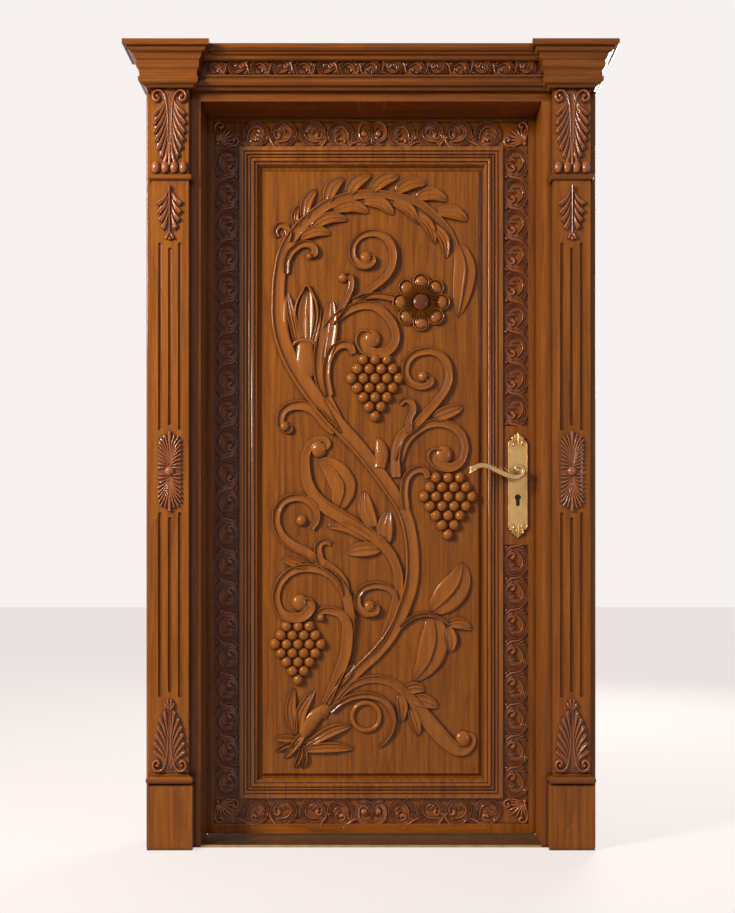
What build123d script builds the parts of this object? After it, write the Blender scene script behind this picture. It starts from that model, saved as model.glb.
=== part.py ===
from build123d import *
import math
import os

# A carved and varnished door leaf in its frame. X runs to the right, Y into the wall, Z up.
# The origin is on the floor, in the middle of the doorway, in the plane of the wall's front face.
# All sizes are in millimetres.

# Doorway and frame
opening_width = 920
opening_height = 2014
jamb_thickness = 45
jamb_depth = 132
casing_thickness = 30
casing_width = 102
head_height = 128
leaf_setback = 110
stop_width = 13
sill_height = 6
rear_casing_width = 80
rear_casing_thickness = 15
rear_casing_reveal = 9
edge_round = 5

# Pilasters, their feet and heads
pilaster_width = 100
pilaster_thickness = 25
pilaster_inset = 28
plinth_height = 171
plinth_margin = 11
plinth_projection = 5
plinth_chamfer = 6
torus_height = 21
foot_fillet_height = 9
necking_height = 15
necking_margin = 8
necking_projection = 11
upper_block_height = 228
capital_height = 106
capital_frieze_overhang = 40
cornice_drop = 104
cornice_frieze_drop = 52
cornice_frieze_projection = 26

# Flutes of the pilasters
flute_pitch = 26.5
flute_width = 10
flute_depth = 4.5
flute_taper = 32
base_leaf_room = 201
patera_room = 219
patera_height_share = 0.5085
leaf_drop_room = 167
middle_flute_shortening = 13

# Door leaf
leaf_gap = 3
leaf_thickness = 50
floor_gap = 4
border_margin = 30
border_foot_margin = 28
border_head_margin = 20
border_width = 70
border_recess = 5
field_to_border = 70
frame_overlap = 30
groove_depth = 12
tongue_thickness = 26
tenon_length = 60
tenon_thickness = 14
tenon_shoulder = 22
panel_field_setback = 4
panel_rear_setback = 4
panel_bevel_width = 8

# Lock
backset = 60
spindle_height = 1025
cylinder_drop = 74
plate_width = 55
plate_height = 296
plate_thickness = 4
cylinder_to_plate_bottom = 114
pad_margin = 18
case_below_cylinder = 30
latch_rise = 12
latch_height = 22
latch_width = 12
bolt_height = 30
bolt_width = 10
bolt_head_length = 40
bolt_tail_height = 10
plug_radius = 6
cam_radius = 14
cam_thickness = 9
barrel_radius = 8.5
lobe_width = 10
cylinder_depth = 33
follower_radius = 10
follower_arm = 22
follower_arm_width = 8
lug_gap = 0.8
lug_thickness = 5
case_height = 178
case_depth = 86
case_thickness = 18
case_wall = 2
forend_height = 236
forend_width = 22
forend_thickness = 3
spindle_side = 8
lever_reach = 143
lever_offset = 46
lever_thickness = 9
latch_throw = 12
bolt_throw = 20
running_clearance = 0.05
slide_clearance = 0.4

# Hinges
pin_radius = 3.25
knuckle_radius = 6.5
hinge_height = 100
hinge_plate_width = 32
hinge_plate_thickness = 2.5
knuckle_gap = 0.3
lowest_hinge_level = 260
highest_hinge_drop = 244

# Fixing holes of the jambs
fixing_hole_radius = 4
fixing_spacing = 1300
fixing_middle = 1000

# Carving
grape_radius = 15
grape_sides = 6
carving_tip = 0.8
span_length = 60
vine_rise = 14
border_unit = 82.5
border_size = 80
border_rise = 8
frieze_unit = 59.5
frieze_size = 46
frieze_rise = 7
ornament_rise = 9
drawing_width = 600
drawing_height = 1686

# Places that follow from the sizes above
opening_half = opening_width / 2
casing_face = -casing_thickness
leaf_face = leaf_setback - casing_thickness
leaf_back = leaf_face + leaf_thickness
rebate_face = opening_half + stop_width
leaf_half = rebate_face - leaf_gap
head_rebate = opening_height + stop_width
leaf_top = head_rebate - leaf_gap
leaf_bottom = sill_height + floor_gap
jamb_outer = opening_half + jamb_thickness
casing_outer = jamb_outer + casing_width
casing_top = opening_height + head_height
pilaster_inner = opening_half + pilaster_inset
pilaster_outer = pilaster_inner + pilaster_width
pilaster_middle = (pilaster_inner + pilaster_outer) / 2
pilaster_face = casing_face - pilaster_thickness
plinth_face = pilaster_face - plinth_projection
foot_top = plinth_height + plinth_chamfer + torus_height + foot_fillet_height
capital_bottom = casing_top - capital_height
upper_block_bottom = capital_bottom - upper_block_height
shaft_top = upper_block_bottom - necking_height
patera_middle = foot_top + (shaft_top - foot_top) * patera_height_share
lower_flute_start = foot_top + base_leaf_room
lower_flute_end = patera_middle - patera_room / 2
upper_flute_start = patera_middle + patera_room / 2
upper_flute_end = shaft_top - leaf_drop_room
border_outer = leaf_half - border_margin
border_inner = border_outer - border_width
field_half = border_inner - field_to_border
stile_inner = field_half + frame_overlap
field_bottom = leaf_bottom + border_foot_margin + border_width + field_to_border
field_top = leaf_top - border_head_margin - border_width - field_to_border
rail_bottom_top = field_bottom - frame_overlap
rail_top_bottom = field_top + frame_overlap
border_floor = leaf_face + border_recess
border_low = field_bottom - field_to_border - border_width
border_high = field_top + field_to_border + border_width
field_face = leaf_face + panel_field_setback
tongue_front = leaf_face + (leaf_thickness - tongue_thickness) / 2
tongue_back = tongue_front + tongue_thickness
lock_x = leaf_half - backset
lock_middle = leaf_face + leaf_thickness / 2
cylinder_height = spindle_height - cylinder_drop
hinge_x = -(rebate_face - leaf_gap / 2)
highest_hinge_level = leaf_top - highest_hinge_drop
hinge_levels = (lowest_hinge_level, (lowest_hinge_level + highest_hinge_level) / 2,
                highest_hinge_level)
hinge_y = jamb_depth + knuckle_radius + 0.5
hinge_plate_back = hinge_y - knuckle_radius - knuckle_gap
plate_bottom = cylinder_height - cylinder_to_plate_bottom
pad_low = plate_bottom - pad_margin
pad_high = plate_bottom + plate_height + pad_margin
plate_face = leaf_face - plate_thickness
rear_plate_face = leaf_back + plate_thickness
case_front = lock_middle - case_thickness / 2
case_back = lock_middle + case_thickness / 2
case_bottom = cylinder_height - case_below_cylinder
case_outer = leaf_half - forend_thickness
forend_middle = case_bottom + case_height / 2
latch_low = spindle_height + latch_rise
latch_high = latch_low + latch_height


def block(x0, x1, y0, y1, z0, z1):
    """A box between two corners."""
    middle = Pos((x0 + x1) / 2, (y0 + y1) / 2, (z0 + z1) / 2)
    return middle * Box(abs(x1 - x0), abs(y1 - y0), abs(z1 - z0))


def mirrored(solid):
    """The same piece on the other side of the doorway."""
    return mirror(solid, about=Plane.YZ)


def outline(points):
    """A closed face through the points; a third number bulges the edge that leads there."""
    edges = []
    for start, end in zip(points, points[1:] + points[:1]):
        bulge = end[2] if len(end) > 2 else 0
        if bulge:
            edges.append(SagittaArc(start[:2], end[:2], bulge))
        else:
            edges.append(Line(start[:2], end[:2]))
    return Face(Wire(edges))


def upright(face, x, y, way):
    """A face drawn as (outwards, up) set upright at x, y, with its outward side along way."""
    out = Vector(*way)
    return Plane(origin=(x, y, 0), x_dir=out, z_dir=out.cross(Vector(0, 0, 1))) * face


def wrapped(x0, x1, y_face, y_back, profile, reach):
    """A moulding that runs across a front and returns round both of its sides."""
    deep = x1 - x0 + reach
    face = outline([(-deep, profile[0][1])] + profile + [(-deep, profile[-1][1])])
    front = extrude(upright(face, (x0 + x1) / 2, y_face, (0, -1, 0)), deep, both=True)
    right = extrude(upright(face, x1, y_face, (1, 0, 0)), deep, both=True)
    left = extrude(upright(face, x0, y_face, (-1, 0, 0)), deep, both=True)
    low = min(point[1] for point in profile)
    high = max(point[1] for point in profile)
    room = block(x0 - reach, x1 + reach, y_face - reach, y_back, low, high)
    return front & right & left & room


# The frame: jambs, head, threshold and casings

def hinge_recess(side_face, depth):
    """The shallow beds of the hinge plates, cut into a face at x = side_face towards depth."""
    beds = []
    for level in hinge_levels:
        low = level - hinge_height / 2
        beds.append(block(side_face, side_face + depth, hinge_plate_back - hinge_plate_width,
                          hinge_y, low, low + hinge_height))
    return beds


def side_jamb():
    """One upright of the frame, on the right: the front part is the stop that the leaf closes on."""
    jamb = block(opening_half, jamb_outer, casing_face, jamb_depth, 0, opening_height)
    jamb -= block(opening_half, rebate_face, leaf_face, jamb_depth, 0, opening_height)
    jamb -= seal_strip(opening_half + 2, 0, opening_height)
    for end in (-1, 1):
        level = fixing_middle + end * fixing_spacing / 2
        drill = Cylinder(fixing_hole_radius, jamb_thickness * 2, rotation=(0, 90, 0))
        jamb -= Pos(jamb_outer, lock_middle, level) * drill
    return jamb


def seal_strip(x, low, high):
    """The rubber strip bedded in the stop, as high as given."""
    return block(x, x + 5, leaf_face - 4, leaf_face, low, high)


def jamb_lock_side():
    jamb = side_jamb()
    jamb -= strike_bed()
    return jamb


def jamb_hinge_side():
    jamb = mirrored(side_jamb())
    for bed in hinge_recess(-rebate_face, -hinge_plate_thickness):
        jamb -= bed
    return jamb


def head_jamb():
    head = block(-jamb_outer, jamb_outer, casing_face, jamb_depth,
                 opening_height, opening_height + jamb_thickness)
    head -= block(-rebate_face, rebate_face, leaf_face, jamb_depth, opening_height, head_rebate)
    head -= block(-opening_half - 7, opening_half + 7, leaf_face - 4, leaf_face,
                  opening_height, opening_height + 7)
    return head


def weather_seal():
    """One rubber strip up both stops and across the head."""
    right = seal_strip(opening_half + 2, sill_height, opening_height)
    across = block(-opening_half - 7, opening_half + 7, leaf_face - 4, leaf_face,
                   opening_height, opening_height + 7)
    return right + mirrored(right) + across


def sill():
    """The threshold: a low metal strip with eased long edges."""
    strip = block(-opening_half, opening_half, casing_face, jamb_depth, 0, sill_height)
    long_edges = strip.edges().filter_by(Axis.X).group_by(Axis.Z)[-1]
    return chamfer(long_edges, 3)


def casing_side():
    """The flat board on the wall at the right."""
    board = block(jamb_outer, casing_outer, casing_face, 0, 0, opening_height + jamb_thickness)
    front_edge = board.edges().filter_by(Axis.Z).group_by(Axis.Y)[0].sort_by(Axis.X)[-1]
    return fillet(front_edge, edge_round)


def casing_head():
    return block(-casing_outer, casing_outer, casing_face, 0,
                 opening_height + jamb_thickness, casing_top)


def rear_casing_side():
    inner = rebate_face + rear_casing_reveal
    board = block(inner, inner + rear_casing_width, jamb_depth, jamb_depth + rear_casing_thickness,
                  0, head_rebate + rear_casing_reveal)
    rear_edges = board.edges().filter_by(Axis.Z).group_by(Axis.Y)[-1]
    return fillet(rear_edges, edge_round)


def rear_casing_head():
    low = head_rebate + rear_casing_reveal
    half = rebate_face + rear_casing_reveal + rear_casing_width
    board = block(-half, half, jamb_depth, jamb_depth + rear_casing_thickness,
                  low, low + rear_casing_width)
    rear_edges = board.edges().filter_by(Axis.X).group_by(Axis.Y)[-1]
    return fillet(rear_edges, edge_round)


# The pilasters, from the foot up

def plinth():
    margin, top = plinth_margin, plinth_height + plinth_chamfer
    profile = [(0, 0), (0, plinth_height), (-plinth_chamfer, top)]
    return wrapped(pilaster_inner - margin, pilaster_outer + margin, plinth_face, casing_face,
                   profile, pilaster_width)


def base_moulding():
    """The torus and fillet that the shaft stands on."""
    low = plinth_height + plinth_chamfer
    neck = low + torus_height
    profile = [(4, low), (4, neck, -torus_height / 2.4), (1, neck), (1, neck + 3), (-4, foot_top)]
    return wrapped(pilaster_inner, pilaster_outer, pilaster_face, casing_face, profile,
                   pilaster_width)


def flute(x, low, high):
    """The cutter of one groove: a long eight-sided slot that narrows as it deepens."""
    half, cut = flute_width / 2, flute_width * 0.3
    slot = Polyline((-half, low + cut), (-half + cut, low), (half - cut, low), (half, low + cut),
                    (half, high - cut), (half - cut, high), (-half + cut, high),
                    (-half, high - cut), close=True)
    mouth = Plane(origin=(x, pilaster_face, 0), x_dir=(1, 0, 0), z_dir=(0, -1, 0))
    return extrude(mouth * make_face(slot), -flute_depth, taper=flute_taper)


def pilaster_shaft():
    """The fluted board between the base moulding and the necking."""
    shaft = block(pilaster_inner, pilaster_outer, pilaster_face, casing_face, foot_top, shaft_top)
    for low, high in ((lower_flute_start, lower_flute_end), (upper_flute_start, upper_flute_end)):
        for place in (-1, 0, 1):
            less = 0 if place else middle_flute_shortening
            shaft -= flute(pilaster_middle + place * flute_pitch, low + less, high - less)
    return shaft


def necking():
    low, high = shaft_top, upper_block_bottom
    reach = necking_margin
    profile = [(reach - 3, low), (reach, low + 3), (reach, high - 3), (reach - 4, high)]
    return wrapped(pilaster_inner, pilaster_outer, pilaster_face, casing_face, profile,
                   pilaster_width)


def upper_block():
    return block(pilaster_inner, pilaster_outer, pilaster_face, casing_face,
                 upper_block_bottom, capital_bottom)


def capital_profile():
    """Overhang beyond the shaft and height, from the bottom of the capital up."""
    base = capital_bottom
    return [
        (12, base), (19, base + 5), (29, base + 17, -4), (30, base + 22), (26, base + 24),
        (27, base + 40), (33, base + 46), (33, base + 64), (36, base + 66), (41, base + 78),
        (44, base + 80), (54, base + 91, -3), (62, base + 91), (64, base + 93), (64, casing_top),
    ]


def capital():
    """The stepped head of a pilaster; its outer return runs back to the wall."""
    body = wrapped(pilaster_inner, pilaster_outer, pilaster_face, 0, capital_profile(),
                   pilaster_width)
    return body - block(0, casing_outer, casing_face, 1, 0, casing_top + 1)


def cornice_profile():
    """Projection from the casing face and height of the cornice between the capitals."""
    top = casing_top
    return [
        (15, top - cornice_drop), (18, top - 97), (29, top - 97), (34, top - 91),
        (29, top - 80, -3), (29, top - 76), (33, top - 75), (33, top - 71), (26, top - 69),
        (26, top - 35), (36, top - 34), (41, top - 31), (47, top - 24, 2), (51, top - 22),
        (51, top - 18), (57, top - 16), (60, top - 12), (62, top - 12), (62, top),
    ]


def cornice():
    """The moulding over the doorway, fitted between the two capitals."""
    profile = [(0, casing_top - cornice_drop)] + cornice_profile() + [(0, casing_top)]
    run = extrude(upright(outline(profile), 0, casing_face, (0, -1, 0)), pilaster_inner, both=True)
    right = capital()
    return run - right - mirrored(right)


# The leaf: stiles, rails, panel and mouldings

def border_bed():
    """The sunk band all round the leaf in which the border is carved, without the lock's pad."""
    outer = block(-border_outer, border_outer, leaf_face, border_floor, border_low, border_high)
    inner = block(-border_inner, border_inner, leaf_face, border_floor,
                  border_low + border_width, border_high - border_width)
    pad = block(border_inner, border_outer, leaf_face, border_floor, pad_low, pad_high)
    return outer - inner - pad


def tongue_room(reach):
    """The space of the panel's tongue, which the grooves of stiles and rails leave."""
    return block(-stile_inner - reach, stile_inner + reach, tongue_front, tongue_back,
                 rail_bottom_top - reach, rail_top_bottom + reach)


def tenons(low, high):
    """The tenons of one rail, at both of its ends."""
    y0 = lock_middle - tenon_thickness / 2
    y1 = lock_middle + tenon_thickness / 2
    pair = []
    for side in (-1, 1):
        pair.append(block(side * stile_inner, side * (stile_inner + tenon_length), y0, y1,
                          low + tenon_shoulder, high - tenon_shoulder))
    return pair


def stile():
    """One upright member of the leaf, on the right, with its groove and mortises."""
    bar = block(stile_inner, leaf_half, leaf_face, leaf_back, leaf_bottom, leaf_top)
    bar -= tongue_room(groove_depth)
    for low, high in ((leaf_bottom, rail_bottom_top), (rail_top_bottom, leaf_top)):
        for tenon in tenons(low, high):
            bar -= tenon
    return bar


def stile_hinge():
    bar = mirrored(stile()) - border_bed()
    for bed in hinge_recess(-leaf_half, hinge_plate_thickness):
        bar -= bed
    return bar


def stile_lock():
    bar = stile() - border_bed()
    bar -= case_room()
    bar -= forend_room()
    bar -= spindle_opening()
    bar -= cylinder_opening()
    return bar


def rail(low, high):
    """A cross member with its two tenons."""
    bar = block(-stile_inner, stile_inner, leaf_face, leaf_back, low, high)
    bar -= tongue_room(groove_depth)
    bar -= border_bed()
    for tenon in tenons(low, high):
        bar += tenon
    return bar


def panel():
    """The raised panel: a tongue all round, and a field with a bevelled edge on both faces."""
    board = tongue_room(groove_depth - 2)
    width, height = 2 * field_half, field_top - field_bottom
    middle = (field_bottom + field_top) / 2
    for y_field, y_foot in ((field_face, tongue_front),
                            (leaf_back - panel_rear_setback, tongue_back)):
        face = Plane(origin=(0, y_field, middle), x_dir=(1, 0, 0), z_dir=(0, -1, 0))
        foot = Plane(origin=(0, y_foot, middle), x_dir=(1, 0, 0), z_dir=(0, -1, 0))
        spread = 2 * panel_bevel_width
        board += loft([face * Rectangle(width, height),
                       foot * Rectangle(width + spread, height + spread)])
    return board


def mitred_frame(profile):
    """A moulding mitred round the panel; the profile is given as (out from the field, depth)."""
    strips = []
    half_height = (field_top - field_bottom) / 2
    middle = (field_bottom + field_top) / 2
    for half, length, turn in ((field_half, half_height, 0), (half_height, field_half, 90)):
        reach = length + field_to_border
        face = Plane.XY * outline(profile)
        bar = extrude(Pos(half, 0, 0) * face, reach, both=True)
        gap = length
        cutter = Polyline((half, -gap), (half + 200, -gap - 200), (half + 200, gap + 200),
                          (half, gap), close=True)
        room = extrude(Plane.XZ * make_face(cutter), 400, both=True)
        piece = bar & room
        strips.append(Rot(0, turn, 0) * piece)
        strips.append(Rot(0, turn + 180, 0) * piece)
    frame = strips[0].fuse(*strips[1:])
    return Pos(0, 0, middle) * frame


def front_moulding():
    """The bolection moulding: it hooks over the inner edge of stiles and rails."""
    foot = tongue_front
    return mitred_frame([
        (14, foot), (20, foot - 8), (36, leaf_face - 4, -5), (36, leaf_face - 6),
        (42, leaf_face - 6, 3), (42, leaf_face - 4), (54, leaf_face - 8, 3), (68, leaf_face - 8),
        (68, leaf_face), (frame_overlap, leaf_face), (frame_overlap, foot)])


def rear_moulding():
    """The plainer moulding on the room side."""
    foot = tongue_back
    return mitred_frame([
        (14, foot), (frame_overlap, foot), (frame_overlap, leaf_back), (54, leaf_back),
        (54, leaf_back + 5), (46, leaf_back + 8, 1.5), (20, leaf_back + 3, -2)])


# The lock

def case_room():
    """The pocket for the lock case in the edge of the lock stile."""
    return block(case_outer - case_depth, case_outer, case_front, case_back,
                 case_bottom, case_bottom + case_height)


def spindle_opening():
    """The square mortise for the spindle under the back plates."""
    half = follower_radius + 1
    return block(lock_x - half, lock_x + half, leaf_face, leaf_back,
                 spindle_height - half, spindle_height + half)


def cylinder_opening():
    """The mortise for the key cylinder under the back plates."""
    half = barrel_radius + 0.5
    return block(lock_x - half, lock_x + half, leaf_face, leaf_back,
                 cylinder_height - cylinder_depth + barrel_radius - 0.5, cylinder_height + half)


def forend_room():
    """The bed of the forend in the leaf's edge."""
    return block(case_outer, leaf_half,
                 lock_middle - forend_width / 2, lock_middle + forend_width / 2,
                 forend_middle - forend_height / 2, forend_middle + forend_height / 2)


def through_leaf(radius, length):
    """A round bar across the leaf's thickness."""
    return Cylinder(radius, length, rotation=(90, 0, 0))


def cylinder_shape(length, gap):
    """The key cylinder's section, a barrel over a narrower lobe, run through the leaf."""
    lobe_radius = lobe_width / 2
    lobe_middle = -(cylinder_depth - barrel_radius - lobe_radius)
    lobe = Box(lobe_width + 2 * gap, length, -lobe_middle)
    shape = through_leaf(barrel_radius + gap, length)
    shape += Pos(0, 0, lobe_middle / 2) * lobe
    shape += Pos(0, 0, lobe_middle) * through_leaf(lobe_radius + gap, length)
    return Pos(lock_x, lock_middle, cylinder_height) * shape


def latch_window(gap):
    """The passage of the latch head through forend and case, with room round it."""
    half = latch_width / 2 + gap
    return block(case_outer - 2 * case_wall, leaf_half + 1, lock_middle - half,
                 lock_middle + half, latch_low - gap, latch_high + gap)


def bolt_window(gap):
    """The passage of the dead bolt through forend and case, with room round it."""
    half = bolt_width / 2 + gap
    return block(case_outer - 2 * case_wall, leaf_half + 1, lock_middle - half,
                 lock_middle + half, cylinder_height - bolt_height / 2 - gap,
                 cylinder_height + bolt_height / 2 + gap)


def lock_case():
    """The hollow case in the stile, with bearings for the follower and room for the cylinder."""
    wall = case_wall
    case = case_room()
    case -= block(case_outer - case_depth + wall, case_outer - wall, case_front + wall,
                  case_back - wall, case_bottom + wall, case_bottom + case_height - wall)
    case -= Pos(lock_x, lock_middle, spindle_height) * through_leaf(
        follower_radius, case_thickness * 2)
    case -= cylinder_opening()
    case -= latch_window(slide_clearance)
    case -= bolt_window(slide_clearance)
    return case


def forend():
    """The lock's face in the edge of the leaf."""
    return forend_room() - latch_window(slide_clearance) - bolt_window(slide_clearance)


def strike_plate():
    """The plate in the jamb that takes latch and bolt."""
    half_width, half_height = forend_width / 2 + 1, forend_height / 2
    plate = block(rebate_face, rebate_face + forend_thickness, lock_middle - half_width,
                  lock_middle + half_width, forend_middle - half_height,
                  forend_middle + half_height)
    for pocket in strike_pockets():
        plate -= pocket
    return plate


def strike_pockets():
    """The hollows behind the strike plate, as deep as latch and bolt reach."""
    deep = rebate_face + forend_thickness + bolt_throw
    half = latch_width / 2 + 2
    latch = block(rebate_face - 1, deep, lock_middle - half, lock_middle + half,
                  latch_low - 2, latch_high + 2)
    half = bolt_width / 2 + 2
    bolt = block(rebate_face - 1, deep, lock_middle - half, lock_middle + half,
                 cylinder_height - bolt_height / 2 - 2, cylinder_height + bolt_height / 2 + 2)
    return latch, bolt


def strike_bed():
    """What is cut from the jamb for the strike plate and its pockets."""
    half_width, half_height = forend_width / 2 + 1, forend_height / 2
    latch, bolt = strike_pockets()
    bed = block(rebate_face, rebate_face + forend_thickness, lock_middle - half_width,
                lock_middle + half_width, forend_middle - half_height,
                forend_middle + half_height)
    return bed + latch + bolt


def latch_bolt():
    """The sprung latch: a bevelled head, a tail over the follower and a lug beside its arm."""
    y0, y1 = lock_middle - latch_width / 2, lock_middle + latch_width / 2
    tip = leaf_half + latch_throw
    head = outline([(case_outer - 30, y0), (leaf_half, y0), (tip, y1 - 2), (tip, y1),
                    (case_outer - 30, y1)])
    latch = extrude(Pos(0, 0, latch_low) * head, latch_height)
    lug_face = lock_x - follower_arm_width / 2 - lug_gap
    bar_low = spindle_height + follower_arm + 2
    latch += block(lug_face - lug_thickness, case_outer - 30, lock_middle - 2, lock_middle + 2,
                   bar_low, latch_high)
    latch += block(lug_face - lug_thickness, lug_face, lock_middle - 4, lock_middle + 4,
                   spindle_height + follower_radius + 3, latch_high)
    return latch


def dead_bolt():
    """The dead bolt, drawn back: a head beside the cylinder and a tail that passes over it."""
    half = bolt_width / 2
    top = cylinder_height + bolt_height / 2
    bolt = block(leaf_half - bolt_head_length, leaf_half, lock_middle - half, lock_middle + half,
                 cylinder_height - bolt_height / 2, top)
    tail_top = cylinder_height + cam_radius + 3 + bolt_tail_height
    neck = leaf_half - bolt_head_length + 8
    bolt += block(leaf_half - bolt_head_length, neck, lock_middle - 2, lock_middle + 2, top,
                  tail_top)
    bolt += block(lock_x - 22, neck, lock_middle - 2, lock_middle + 2,
                  tail_top - bolt_tail_height, tail_top)
    return bolt


def lock_cylinder():
    """The cylinder's body, with a bore for the plug and a gap for the cam."""
    length = rear_plate_face - plate_face + 4
    body = cylinder_shape(length, 0)
    body -= Pos(lock_x, lock_middle, cylinder_height) * through_leaf(plug_radius, length + 2)
    gap_half = cam_thickness / 2 + 0.5
    body -= block(lock_x - 20, lock_x + 20, lock_middle - gap_half, lock_middle + gap_half,
                  cylinder_height - cam_radius - 1.5, cylinder_height + 20)
    return body


def cylinder_plug():
    """The turning plug with its key slots and the cam."""
    length = rear_plate_face - plate_face + 4
    radius = plug_radius - running_clearance
    plug = through_leaf(radius, length)
    plug += through_leaf(barrel_radius - 0.5, cam_thickness)
    plug += Pos(0, 0, -cam_radius / 2) * Box(6, cam_thickness, cam_radius)
    for end in (-1, 1):
        plug -= Pos(0, end * length / 2, -0.5) * Box(2, 8, 8)
    return Pos(lock_x, lock_middle, cylinder_height) * plug


def plate_outline():
    """The long plate's outline, with an ear and a pointed crest at both ends."""
    half = plate_width / 2
    right = [(0, 0), (9, 12), (12, 23), (21, 29), (half, 38)]
    right += [(x, plate_height - z) for x, z in reversed(right)]
    return right + [(-x, z) for x, z in reversed(right[1:-1])]


def back_plate(y_front, y_back):
    """A lever plate with its holes for the lever's neck and the cylinder."""
    face = Plane(origin=(lock_x, y_back, plate_bottom), x_dir=(1, 0, 0),
                 z_dir=(0, -1, 0)) * outline(plate_outline())
    plate = extrude(face, y_back - y_front)
    plate -= Pos(lock_x, lock_middle, spindle_height) * through_leaf(9, 200)
    plate -= cylinder_shape(200, 0)
    return plate


def lever_blade():
    """The S-shaped blade, from the hub towards the hinges, with a crest on both faces."""
    path = Spline((12, -6), (-8, -12), (-36, 0), (-66, 11), (-98, 18), (-lever_reach, 1))
    halves = (5, 9, 9, 9, 8, 7, 2)
    half_blade = ridge_along(path, halves, lever_thickness / 2, 0, 9)
    return half_blade + mirror(half_blade, about=Plane.XZ)


def lever(front):
    """A lever handle: blade, neck and square socket, outside or on the room side."""
    way = -1 if front else 1
    face = plate_face if front else rear_plate_face
    centre = face + way * lever_offset
    seat = leaf_face if front else leaf_back
    handle = Pos(lock_x, centre, spindle_height) * lever_blade()
    neck = through_leaf(9 - running_clearance, abs(seat - centre) + 3)
    handle += Pos(lock_x, (seat + centre + way * 3) / 2, spindle_height) * neck
    return handle - spindle()


def spindle():
    """The square bar through the follower into both levers."""
    length = rear_plate_face - plate_face + 2 * lever_offset - 4
    return Pos(lock_x, lock_middle, spindle_height) * Box(spindle_side, length, spindle_side)


def follower():
    """The hub that the spindle turns, with an arm that draws the latch back."""
    hub = through_leaf(follower_radius - running_clearance, case_thickness)
    arm = Pos(0, 0, follower_arm / 2) * Box(follower_arm_width, case_thickness - 2 * case_wall - 1,
                                            follower_arm)
    return Pos(lock_x, lock_middle, spindle_height) * (hub + arm) - spindle()


# The hinges: the leaf's half lifts off the fixed pin of the frame's half

def hinge_plate(face, towards, level, low, high):
    """A plate bedded in the wood, with a strip to its knuckle between low and high."""
    end = face + towards * hinge_plate_thickness
    bottom = level - hinge_height / 2
    plate = block(face, end, hinge_plate_back - hinge_plate_width, hinge_plate_back, bottom,
                  bottom + hinge_height)
    return plate + block(face, end, hinge_plate_back, hinge_y, low, high)


def hinge_plates_frame():
    """The lower knuckles with their fixed pins."""
    halves = []
    for level in hinge_levels:
        low, high = level - hinge_height / 2, level - knuckle_gap / 2
        knuckle = Pos(hinge_x, hinge_y, (low + high) / 2) * Cylinder(knuckle_radius, high - low)
        pin_length = hinge_height / 2 - 8
        pin = Pos(hinge_x, hinge_y, high + pin_length / 2) * Cylinder(pin_radius, pin_length)
        halves.append(hinge_plate(-rebate_face, -1, level, low, high) + knuckle + pin)
    return Compound(halves)


def hinge_plates_leaf():
    """The upper knuckles, bored for the pins."""
    halves = []
    for level in hinge_levels:
        low, high = level + knuckle_gap / 2, level + hinge_height / 2
        knuckle = Pos(hinge_x, hinge_y, (low + high) / 2) * Cylinder(knuckle_radius, high - low)
        bore_length = hinge_height / 2 - 6
        bore = Pos(hinge_x, hinge_y, low + bore_length / 2) * Cylinder(
            pin_radius + running_clearance, bore_length)
        halves.append(hinge_plate(-leaf_half, 1, level, low, high) + knuckle - bore)
    return Compound(halves)


# Carving: every form is a closed solid of flat facets that stands on its ground

def faceted(faces):
    """A solid from its triangles and polygons."""
    solid = Solid(Shell([Face(Wire.make_polygon(points, close=True)) for points in faces]))
    return solid if solid.volume > 0 else Solid(solid.wrapped.Reversed())


def blend(values, t):
    """A value between the given ones, which are evenly spaced from t = 0 to 1."""
    place = t * (len(values) - 1)
    index = min(int(place), len(values) - 2)
    return values[index] + (values[index + 1] - values[index]) * (place - index)


def ridge(points, halves, rise, ground, spans=None):
    """A carved strand or leaf through the points: wide as given, with a crest in its middle."""
    path = Spline(*points) if len(points) > 2 else Line(*points)
    return ridge_along(path, halves, rise, ground, spans or max(3, round(path.length / span_length)))


def ridge_along(path, halves, rise, ground, spans):
    """The same along a drawn path, in as many spans as given."""
    left, right, crest = [], [], []
    for index in range(spans + 1):
        t = index / spans
        spot, way = path @ t, path % t
        half = max(blend(halves, t), carving_tip)
        side = Vector(-way.Y, way.X) * half
        height = rise * min(1, 0.25 + half / max(halves))
        left.append(Vector(spot.X + side.X, ground, spot.Y + side.Y))
        right.append(Vector(spot.X - side.X, ground, spot.Y - side.Y))
        crest.append(Vector(spot.X, ground - height, spot.Y))
    faces = [left + right[::-1], (left[0], crest[0], right[0]), (left[-1], right[-1], crest[-1])]
    for index in range(spans):
        after = index + 1
        faces.append((left[index], left[after], crest[index]))
        faces.append((crest[index], left[after], crest[after]))
        faces.append((right[index], crest[index], right[after]))
        faces.append((crest[index], crest[after], right[after]))
    return faceted(faces)


def boss(x, z, radius, rise, ground, sides=grape_sides):
    """A faceted dome: a grape, a bead, a bud or the eye of a scroll."""
    foot, shoulder = [], []
    for index in range(sides):
        angle = 2 * math.pi * (index + 0.5) / sides
        way = Vector(math.cos(angle), 0, math.sin(angle))
        foot.append(Vector(x, ground, z) + way * radius)
        shoulder.append(Vector(x, ground - rise * 0.7, z) + way * radius * 0.72)
    top = Vector(x, ground - rise, z)
    faces = [foot]
    for index in range(sides):
        after = (index + 1) % sides
        faces.append((foot[index], shoulder[index], shoulder[after], foot[after]))
        faces.append((shoulder[index], top, shoulder[after]))
    return faceted(faces)


def grape_bunch(x, z, pitch, drop):
    """A hanging bunch: rows of three, four, five, four, three, two and one."""
    grapes = []
    for row, count in enumerate((3, 4, 5, 4, 3, 2, 1)):
        for index in range(count):
            place = x + (index - (count - 1) / 2) * pitch
            grapes.append((place, z - row * drop))
    return grapes


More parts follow.
